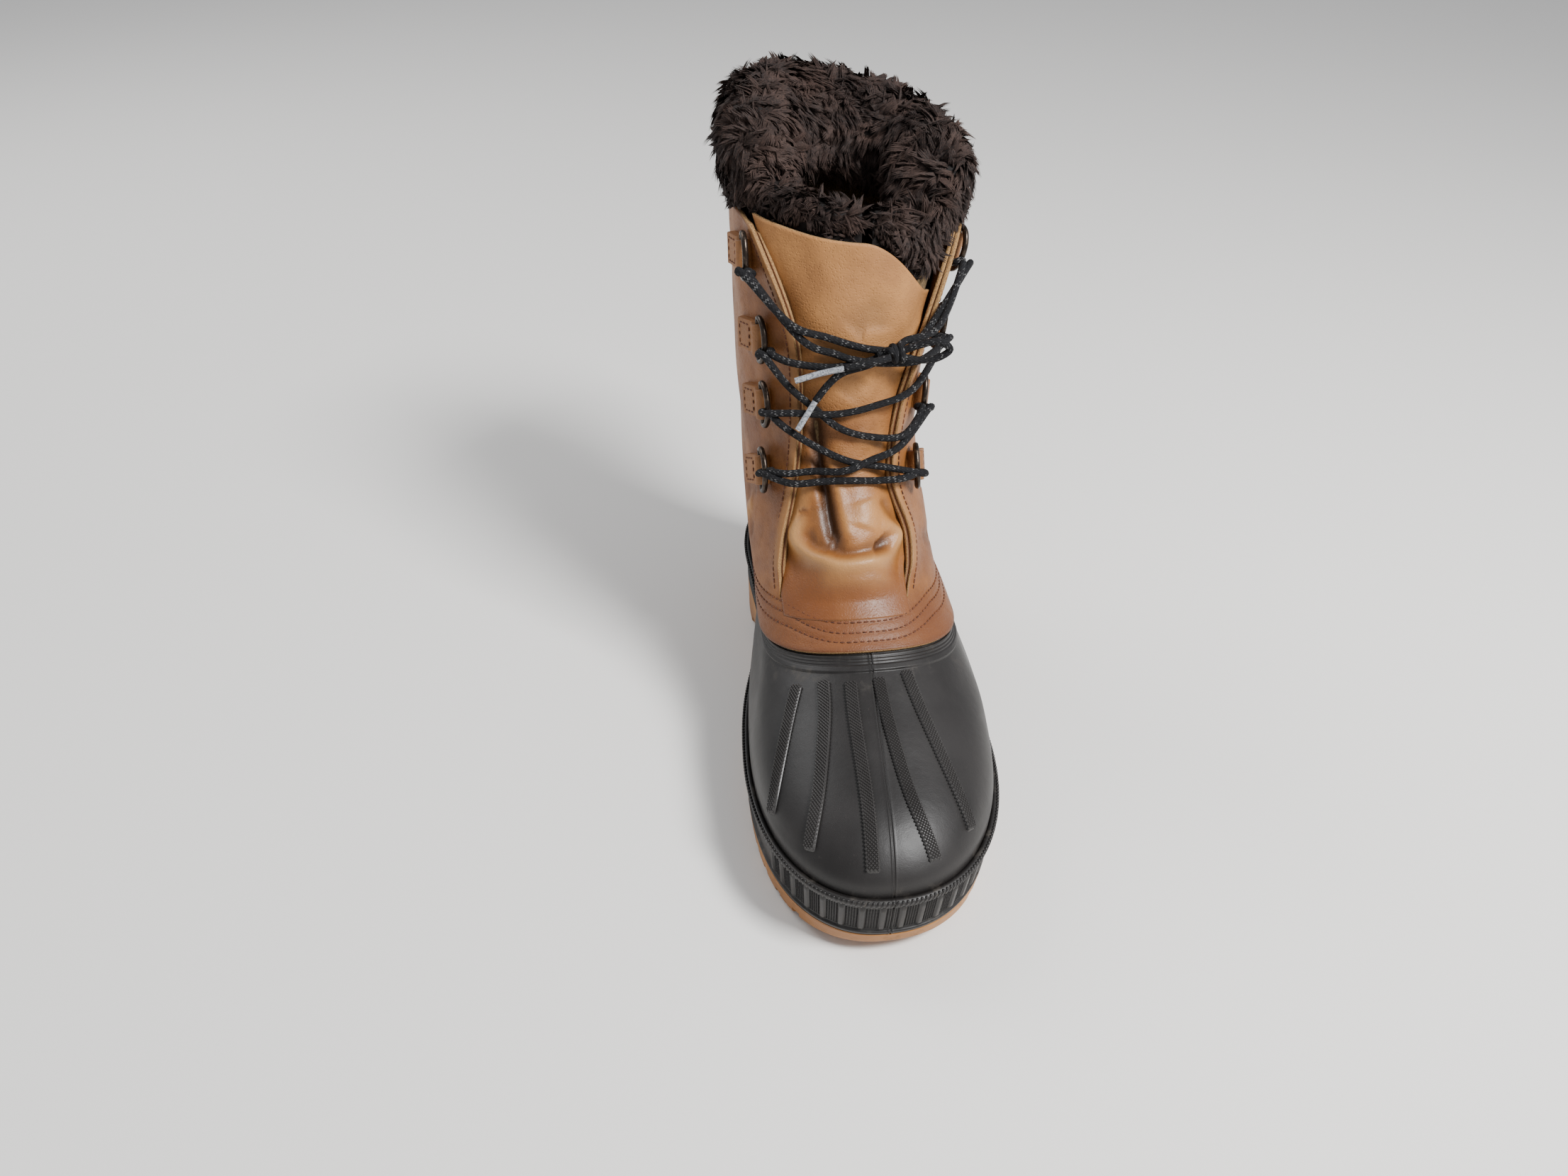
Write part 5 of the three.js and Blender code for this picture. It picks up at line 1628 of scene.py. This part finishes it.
def quarters():
    levels = np.concatenate([np.linspace(6, 7, 22), np.linspace(7.04, 12, 84)])
    front = np.linspace(0, 1, 61)[:-1]
    turn = np.linspace(0, 1, 241)[:-1]
    back = turn - np.sin(2 * math.pi * turn) * 0.085
    v = levels[:, None]
    edge_in, edge_out = throat_edge(v, -1), throat_edge(v, 1)
    u = np.concatenate(
        [edge_in + (edge_out - edge_in) * front, edge_out + (2 + edge_in - edge_out) * back], axis=1
    )
    u = u - 2 * np.round(u / 2)
    v = np.broadcast_to(v, u.shape)
    base = last_point(v, u)
    folds = sum(stroke(base, line, width, height) for line, width, height in quarter_folds)
    waves = (crumple(base, 0.45) + folds) * ramp(6.9, 7.5, v) * (1 - ramp(11.6, 12, v))
    seams = sum(0.35 * np.exp(-(((v - at(u)) / 0.035) ** 2)) for at in seam_levels)
    outer = off_point(v, u, over + flare(v, u) + waves - seams)
    inner = off_point(v, u, clearance + flare(v, u))
    keep = np.ones((len(levels) - 1, u.shape[1]), dtype=bool)
    keep[levels[:-1] > 6.99, :60] = False
    points, faces, rims = wall(outer, inner, True, keep)
    strip = 1 - ramp(6.75, 7.15, v)
    marks = {
        # Painted shade in the troughs of the folds; darker dirt on the strip and along the leather's foot.
        "shade": np.clip(0.25 * strip + 0.5 * (1 - ramp(6.0, 6.15, v)) - folds * 0.35, 0, 1),
        "red": 0.55 * strip,
        "pale": np.clip(folds * 0.5 + np.exp(-((flare(v, u) / edge_flare - 1) / 0.18) ** 2) * 0.35, 0, 1),
        "matt": 0.35 + 0 * v,
    }
    add_piece("leather_wall", points, faces, quarter_leather, ("leather_upper",),
              uv=surface_uv(outer), marks=both_faces(marks), second=(raw_edge, rims))


def back_place(v, t):
    scale = np.linalg.norm(last_point(v, 0.98) - last_point(v, -0.98), axis=-1) / 0.04
    return 1 + t * backstay_width / 2 / scale


def backstay():
    v, t = np.meshgrid(np.linspace(6.25, 11.9, 90), np.linspace(-1, 1, 26), indexing="ij")
    u = back_place(v, t)
    outer = off_point(v, u, over + backstay_raise + crumple(last_point(v, u), 0.3) - 0.8 * np.abs(t) ** 8)
    inner = off_point(v, u, over - leather_wall / 2 + 0 * v)
    points, faces, rims = wall(outer, inner)
    marks = {"shade": 0.15 + 0 * v, "red": 0.2 + 0 * v, "pale": 0.2 * np.abs(t) ** 6, "matt": 0.3 + 0 * v}
    add_piece("backstay_strip", points, faces, quarter_leather, uv=surface_uv(outer),
              marks=both_faces(marks), second=(raw_edge, rims))


def facings():
    """The second layer of leather under each quarter's front edge."""
    for name, side in sides.items():
        v, d = np.meshgrid(np.linspace(7.12, 11.92, 90), np.linspace(-0.9, 15, 16), indexing="ij")
        u = back_of_edge(v, side, d)
        lift = flare(v, back_of_edge(v, side, np.maximum(d, 0.2)))
        outer = off_point(v, u, clearance + lift - 0.35)
        inner = off_point(v, u, clearance + lift - 2.3)
        if side < 0:
            outer = outer[:, ::-1]
            inner = inner[:, ::-1]
        points, faces, rims = wall(outer, inner)
        # The facing, under the quarter's edge, is darkened: painted shade.
        even = {"shade": 0.5 + 0 * v, "red": 0.4 + 0 * v, "pale": 0 * v, "matt": 1 + 0 * v}
        add_piece(f"facing_{name}", points, faces, quarter_leather, uv=surface_uv(outer),
                  marks=both_faces(even), second=(raw_edge, rims))


quarters()
backstay()
facings()

# %% [markdown]
# The tongue has the folds that make this boot recognisable: a deep crease that runs down from the lace,
# a big round bulge over the strip with a lip above it, and a dark dimple beside it. Each is one stroke: a
# given line, a width and a height in millimetres.

# %% Tongue and its folds
crease = [
    (10.13, -0.278), (9.89, -0.264), (9.5, -0.239), (9.16, -0.206), (8.84, -0.179), (8.49, -0.157),
    (8.19, -0.141), (7.9, -0.116),
]
lip = [
    (8.49, -0.371), (8.05, -0.438), (7.86, -0.334), (7.76, -0.228), (7.66, -0.111), (7.68, 0.067),
    (7.74, 0.187), (7.82, 0.268), (8.05, 0.383), (8.22, 0.324), (8.31, 0.208),
]
tongue_folds = [
    (crease, 3.0, -3.8),
    (crease, 7.5, -2.6),
    (lip, 4.6, 3.4),
    ([(8.3, -0.33), (8.02, -0.3), (7.93, -0.2), (7.86, -0.05), (7.9, 0.1), (8.0, 0.3)], 3.4, -2.0),
    ([(8.11, 0.188), (7.93, 0.248), (8.01, 0.138)], 6.5, -2.8),
    ([(9.52, -0.182), (8.97, -0.107), (8.49, -0.074), (8.05, -0.043)], 3.8, 2.4),
    ([(9.9, -0.32), (9.3, -0.27), (8.9, -0.24), (8.6, -0.22)], 3.2, 1.5),
    ([(8.77, 0.089), (8.58, 0.109), (8.29, 0.05)], 7.0, 1.5),
    ([(8.53, -0.364), (8.23, -0.421), (8.92, -0.325), (9.27, -0.311)], 6.0, 1.8),
    ([(11.07, -0.038), (11.31, 0.132), (11.06, 0.15)], 8.0, -1.5),
    ([(10.55, 0.072), (10.28, -0.05)], 7.0, -1.3),
    ([(8.75, 0.26), (8.5, 0.31), (8.2, 0.43)], 3.4, -1.6),
    ([(9.4, 0.2), (9.15, 0.26), (8.9, 0.33)], 4.0, -1.2),
    ([(7.45, -0.3), (7.35, 0.0), (7.42, 0.25)], 5.0, 0.9),
    ([(9.75, 0.05), (9.6, 0.2), (9.55, 0.32)], 4.0, 0.9),
]


def tongue_grid(rows, columns):
    levels = np.linspace(6.68, tongue_top, rows)[:, None]
    t = np.linspace(-1, 1, columns)[None, :]
    v = levels - tongue_fall * ramp(10.6, tongue_top, levels) * ramp(0, 1.2, t)
    row = tongue_at(np.broadcast_to(levels, v.shape))
    aside = t * np.where(t < 0, row["inner"], row["outer"])
    return np.broadcast_to(levels, v.shape), np.broadcast_to(t, v.shape), v, place_at(v, aside)


def tongue():
    levels, t, v, u = tongue_grid(130, 120)
    base = last_point(v, u)
    folds = sum(stroke(base, line, width, height) for line, width, height in tongue_folds)
    folds = folds * ramp(7.08, 7.4, levels) * (1 - ramp(0.86, 1.0, np.abs(t)))
    top = ramp(11.2, tongue_top, levels)
    curl = 3.5 * top * ramp(-0.55, -1, t) - 1.2 * top
    lap = 0.15 * (1 - ramp(7.0, 7.3, levels))
    offset = tongue_off(levels, np.abs(t)) + lap + folds + crumple(base, 0.35) * ramp(7.1, 7.6, levels)
    outer = off_point(v, u, offset + curl)
    inner = off_point(v, u, offset + curl - tongue_wall)
    points, faces, rims = wall(outer, inner)
    marks = {
        # Painted shade in the troughs of the folds; the base is darkened like the strip's dirt.
        "shade": np.clip(-folds * 0.3 + 0.2 * (1 - ramp(6.7, 7.4, levels)), 0, 1),
        "red": 0.75 * (1 - ramp(6.9, 8.4, levels)),
        "pale": np.clip(folds * 0.28, 0, 1) * 0.8 + 0.25 * ramp(9.5, 11, levels),
        "matt": ramp(8.8, 10.0, levels),
    }
    add_piece("tongue_leather_sheet", points, faces, tongue_leather, ("tongue",),
              uv=surface_uv(outer), marks=both_faces(marks), second=(raw_edge, rims))


tongue()

# %% [markdown]
# Every seam is a row of short stitches of dark red thread. A row is a line of places on the leather; the
# stitches are spaced along it, lie along it, and are sunk a little.

# %% Stitches
stitch_points, stitch_outs, stitch_leans = [], [], []


def sew(path, normals, pitch=3.3):
    """Adds stitches along a dense line of points."""
    gone = gone_along(path)
    at = np.arange(pitch / 2, gone[-1], pitch)
    centre = np.stack([np.interp(at, gone, path[:, k]) for k in range(3)], axis=-1)
    ahead = np.stack([np.interp(at + 0.8, gone, path[:, k]) for k in range(3)], axis=-1)
    out = np.stack([np.interp(at, gone, normals[:, k]) for k in range(3)], axis=-1)
    stitch_points.append(centre)
    stitch_outs.append(unit(out))
    stitch_leans.append(unit(ahead - centre + 1e-6))


def sew_shaft():
    u = np.linspace(-1, 1, 900)
    for level_of in seam_levels:
        v = level_of(u)
        sew(on_leather(v, u, -0.1), leather_normal(v, u))
    v = np.linspace(7.1, 11.9, 400)
    for side in (-1, 1):
        u = back_of_edge(v, side, 4.0)
        sew(on_leather(v, u, 0.1), leather_normal(v, u), 3.0)
    for t in (-0.82, 0.82):
        v = np.linspace(6.4, 11.8, 400)
        u = back_place(v, t)
        sew(off_point(v, u, over + backstay_raise + 0.05), last_normal(v, u), 3.0)
    points, outs, leans = (np.concatenate(rows) for rows in (stitch_points, stitch_outs, stitch_leans))
    repeat("seam_thread", grain, points, outs, leans, (2.5, 0.85, 0.7), thread, 0.08, 3)


sew_shaft()

# %% [markdown]
# The rings are bent wire with a straight bar. Each is held by a leather tab that goes round the bar and is
# sewn down behind it.

# %% Rings and tabs
tab_tail = clearance * 2 + leather_wall + 2 * tab_layer + 0.4


def ring_wires():
    half = (ring_height - ring_wire) / 2
    reach = ring_depth - ring_wire
    turn = np.linspace(0, 1, 30)
    arc = np.stack([half * np.cos(math.pi * turn), 1.5 + (reach - 1.5) * np.sin(math.pi * turn)], axis=-1)
    bar = np.stack([np.linspace(-half * 0.96, half * 0.96, 12), np.zeros(12)], axis=-1)
    outline = catmull(np.concatenate([arc, bar]), 72, closed=True)
    for name, frames in ring_frames.items():
        for index, f in enumerate(frames):
            path = f["middle"] + outline[:, :1] * f["up"] + outline[:, 1:] * f["forward"]
            points, faces, uv = tube(path, ring_wire / 2, 14, closed=True)
            add_piece(f"ring_wire_{name}_{index + 1}", points, faces, dark_metal,
                      (f"d_ring_{name}_{index + 1}",), uv, True)


def tab_profile(lift):
    """The outline of a folded strap from the side, starting at its nose and going over its outer face."""
    fold = ring_wire / 2 + clearance + tab_layer
    seat = -lift
    back = np.linspace(fold * 1.6, tab_length, 6)
    over_back = [(-b, seat + tab_tail - b * b / ball_width) for b in back]
    under = [(-b, seat - b * b / ball_width - 0.6) for b in back[::-1]]
    nose = [(fold, 0), (fold * 0.86, fold * 0.5), (fold * 0.45, fold * 0.9), (-fold * 0.4, fold * 0.96)]
    return catmull(
        np.array(nose + over_back + under + [(0, seat - 0.6), (fold * 0.7, -fold * 0.85)]), 44, closed=True
    )


def tabs():
    for name, side in sides.items():
        for index, v in enumerate(ring_levels):
            f = ring_frame(side, v)
            profile = tab_profile(f["lift"])
            middle = profile.mean(axis=0)
            rings = []
            for at, grow in (
                (-1, 0.93), (-0.985, 0.98), (-0.93, 1), (-0.5, 1), (0, 1), (0.5, 1), (0.93, 1),
                (0.985, 0.98), (1, 0.93)
            ):
                shape = middle + (profile - middle) * grow
                up = at * tab_height / 2
                rings.append(in_frame(f, up, shape[:, :1], shape[:, 1:]))
            if side > 0:
                rings = rings[::-1]
            points, faces = slab(rings, 6)
            even = {"shade": 0.2, "red": 0.3, "pale": 0.2, "matt": 0.4}
            marks = {title: np.full(len(points), value) for title, value in even.items()}
            uv = np.stack([(points - f["middle"]) @ f["forward"], (points - f["middle"]) @ f["up"]], axis=-1)
            add_piece(f"tab_strap_{name}_{index + 1}", points, faces, tab_leather,
                      (f"ring_tab_{name}_{index + 1}",), uv, marks=marks, sharp=60)


def on_tab(f, b, up):
    """A point on a tab's outer face, b in front of the bar."""
    return in_frame(f, up, b, tab_tail - f["lift"] - b * b / ball_width + 0.1)


def sew_tabs():
    points, outs, leans = [], [], []
    for side in sides.values():
        for v in ring_levels:
            f = ring_frame(side, v)
            runs = [[on_tab(f, b, y) for y in (-5.2, 5.2)] for b in (-7.5, -16.8)]
            runs += [[on_tab(f, b, y) for b in (-8.0, -12.4, -16.5)] for y in (5.6, -5.6)]
            for run in runs:
                line = catmull(np.array(run), 30)
                count = int(length_of(line) / 2.7)
                for k in range(count):
                    at = (k + 0.5) / count * 29
                    here = line[int(at)]
                    points.append(here)
                    outs.append(f["out"])
                    leans.append(unit(line[min(int(at) + 2, 29)] - line[max(int(at) - 2, 0)]))
    repeat("tab_thread", grain, points, outs, leans, (2.2, 0.8, 0.65), thread, 0.05, 5)


ring_wires()
tabs()
sew_tabs()

# %% [markdown]
# Inside is a sock of felt on an insole. Its rim and slit are those of the solid. On its rim sits a thick
# roll of pile: a plain roll for the ground, darker than the locks as painted shade deep in the pile, and
# nearly ten thousand small locks of fibre on it.

# %% Liner and insole
def front_fall(u):
    return 0.8 * (1 - ramp(0.14, 0.46, np.abs(u)))


slit_width = 5.0
slit_low = last_point(10.2, 0)
slit_middle = swing_x(slit_low[1]) + 3


def front_slit():
    """The box that cuts the slit at the front of the liner and the cuff."""
    high = last_point(ridge_level + 1.5, 0)
    x = slit_middle + np.array([-0.5, 0.5]) * slit_width
    y = slit_low[1] + np.array([-1, 1]) * boot_length * 0.1
    corners = [(a, b, c) for c in (slit_low[2], high[2]) for b in y for a in x]
    faces = [(0, 2, 3, 1), (4, 5, 7, 6), (0, 1, 5, 4), (2, 6, 7, 3), (0, 4, 6, 2), (1, 3, 7, 5)]
    return plain_object("slit_cutter", corners, faces)


def liner():
    u = around(110)
    outside = [(v, liner_out - 1.0 * ramp(6.5, 8, v)) for v in np.linspace(0.05, liner_top, 34)]
    inside = [(v, liner_out - felt_wall) for v in np.linspace(liner_top, 0.4, 26)]
    fill = []
    for v, offset in outside + inside:
        fill.append(off_point(v - front_fall(u) * ramp(10.6, liner_top, v), u, offset))
    points, faces = slab(fill)
    sock = plain_object("felt_sock", points, faces)
    cut_away(sock, [front_slit()])
    finish_mesh(sock, felt, 40)
    dress(sock, ("felt_liner",))
    grow = -rubber_wall - liner_ease - felt_wall - 1.6
    edge = ((0.415, grow - 1), (0.43, grow), (0.53, grow), (0.55, grow - 1))
    plate = [off_point(v, around(90), g) for v, g in edge]
    points, faces = slab(plate)
    sole = plain_object("felt_insole", points, faces)
    finish_mesh(sole, felt, 60)
    dress(sole, ("insole",))


liner()

# %% Pile cuff: the roll and its locks
def liner_rim_z(point_xy):
    """Height of the liner's top face over points, straight from side to side."""
    sides_z = []
    for side in (-1, 1):
        u = side * np.linspace(0, 1, 200)
        ring = off_point(liner_top - front_fall(u), u, liner_out - 1.0)
        order = np.argsort(ring[:, 1])
        ring = ring[order]
        sides_z.append([np.interp(point_xy[:, 1], ring[:, 1], ring[:, k]) for k in (0, 2)])
    (left_x, left_z), (right_x, right_z) = sides_z
    share = (point_xy[:, 0] - left_x) / np.maximum(right_x - left_x, 1)
    return left_z + (right_z - left_z) * share


def cuff_grid(u, fine):
    """The cuff's section at every place: smooth closed loops, one for each column."""
    rise = ramp(0.3, 0.44, np.abs(u))

    def mix(front, side):
        return front + (side - front) * rise

    reach = mix(-17, -34) - 4 * ramp(0.6, 0.95, np.abs(u))
    ridge = mix(12.5, ridge_level)
    out = mix(-3.9, 2.5)
    seat = liner_top - front_fall(u)
    section = [
        (seat, liner_out - 1 + 0 * u), (mix(seat + 0.1, 12.09), mix(out, 2)),
        (mix(12.2, 12.7), out + mix(0, 1)),
        (ridge - mix(0.06, 0.16), mix(-5, 0)), (ridge, mix(-8, -7)), (ridge, mix(-12, -18)),
        (ridge - mix(0.06, 0.18), reach * 0.8), (ridge - mix(0.3, 0.5), reach), (mix(11.7, 12.1), reach),
        (mix(11.55, 11.9), mix(-15.5, -23)), (seat, liner_out - felt_wall - 1 + 0 * u),
    ]
    rows = np.stack([off_point(v, u, offset) for v, offset in section], axis=1)
    for k in (0, -1):
        rows[:, k, 2] = liner_rim_z(rows[:, k, :2]) + 0.95
    return np.stack([catmull(row, fine, closed=True) for row in rows], axis=1)


def roll():
    u = around(180)
    grid = cuff_grid(u, 36)
    rows, columns = grid.shape[:2]
    faces = grid_faces(rows, columns, True).tolist()
    last = (rows - 1) * columns
    for j in range(columns):
        k = (j + 1) % columns
        faces.append([last + j, last + k, k, j])
    made = plain_object("pile_roll", grid.reshape(-1, 3), faces)
    cut_away(made, [front_slit()])
    finish_mesh(made, shaded_pile_ground, 80)
    dress(made, ("pile_cuff",))


def lock_shape(seed):
    """A lock: seven curved, tapered ribbons from one root, one long along X and one high along Z."""
    chance = np.random.default_rng(seed)
    points, faces = [], []
    for _ in range(7):
        root = chance.uniform(-0.16, 0.16, 2)
        drift = chance.uniform(-0.13, 0.13)
        long = chance.uniform(0.75, 1.1)
        high = chance.uniform(0.75, 1.15)
        spin = chance.uniform(-0.6, 0.6)
        start = len(points)
        for t, width in ((0, 0.05), (0.4, 0.06), (0.75, 0.045)):
            x = root[0] + long * t ** 1.7
            y = root[1] * (1 - 0.6 * t) + drift * t
            z = high * (t - 0.42 * t * t) * 1.1
            points.append((x, y - width * math.cos(spin), z - width * math.sin(spin)))
            points.append((x, y + width * math.cos(spin), z + width * math.sin(spin)))
        points.append((root[0] + long, root[1] * 0.4 + drift, high * 0.62))
        faces += [(start, start + 2, start + 3, start + 1), (start + 2, start + 4, start + 5, start + 3)]
        faces.append((start + 4, start + 6, start + 5))
    return points, faces


def above_tongue(grid):
    """How far each point of the cuff's front is above the tongue's top edge, and a lot elsewhere."""
    levels, t, v, u = tongue_grid(3, 60)
    edge = off_point(v[-1], u[-1], tongue_off(levels[-1], np.abs(t[-1])))
    order = np.argsort(edge[:, 0])
    edge_z = np.interp(grid[..., 0], edge[order, 0], edge[order, 2])
    in_front = grid[..., 1] < grid[..., 1].mean() - 14
    return np.where(in_front, grid[..., 2] - edge_z, 99)


def pile():
    """Locks on the roll: they part along its ridge and hang outwards and inwards."""
    fine_u = around(420)
    grid = cuff_grid(fine_u, 90)
    by_row = np.roll(grid, -1, axis=0) - np.roll(grid, 1, axis=0)
    by_column = np.roll(grid, -1, axis=1) - np.roll(grid, 1, axis=1)
    normal = np.cross(by_column, by_row)
    area = np.linalg.norm(normal, axis=2)
    normal = unit(normal)
    ridge = grid[..., 2].max(axis=0)
    down = unit(by_row)
    down = np.where(down[..., 2:] > 0, -down, down)
    weight = area * (normal[..., 2] > -0.75)
    weight = weight * ~((np.abs(grid[..., 0] - slit_middle) < 2.7) & (np.abs(fine_u)[None, :] < 0.25))
    above = above_tongue(grid)
    weight = weight * (above > -1.5)
    weight = weight / weight.sum()
    chance = np.random.default_rng(11)
    for part, shape_seed in (("a", 1), ("b", 2)):
        small = small_piece(f"lock_{part}", *lock_shape(shape_seed))
        count = 4800
        picked = chance.choice(weight.size, count, p=weight.ravel())
        root = grid.reshape(-1, 3)[picked] + chance.normal(0, 0.8, (count, 3))
        out = normal.reshape(-1, 3)[picked]
        hang = down.reshape(-1, 3)[picked]
        x, y, z = root.T * 0.12
        swirl = np.stack(
            [np.sin(2.1 * y + 1.7 * z), np.sin(1.9 * z - 1.4 * x + 2), np.sin(1.6 * x + 2.3 * y + 4)],
            axis=-1
        )
        slope = ramp(1, 9, np.take(ridge, picked % len(fine_u)) - root[:, 2])[:, None]
        clear = ramp(1, 15, above.ravel()[picked])
        fall = (0.35 + 0.65 * slope) * (2 * clear - 1)[:, None]
        lean = hang * fall + swirl * 0.75 + chance.normal(0, 0.35, (count, 3))
        lean = unit(lean - out * (lean * out).sum(axis=1, keepdims=True))
        rise = unit(out + chance.normal(0, 0.16, (count, 3)))
        long = chance.uniform(6.5, 11.5, count) * (0.5 + 0.5 * clear)
        size = np.stack([long, long * 0.9, chance.uniform(3.5, 6.5, count)], axis=-1)
        repeat(
            f"pile_locks_{part}", small, root - out * 0.8, rise, lean, size, pile_strand, 0.1,
            shape_seed
        )


roll()
pile()

# %% [markdown]
# Last, the size of what was made is measured over all its pieces.

# %% Sizes and finish
def write_sizes():
    low = np.full(3, np.inf)
    high = np.full(3, -np.inf)
    for piece in made_pieces:
        corners = np.array([piece.matrix_world @ Vector(corner) for corner in piece.bound_box])
        low = np.minimum(low, corners.min(axis=0))
        high = np.maximum(high, corners.max(axis=0))


write_sizes()
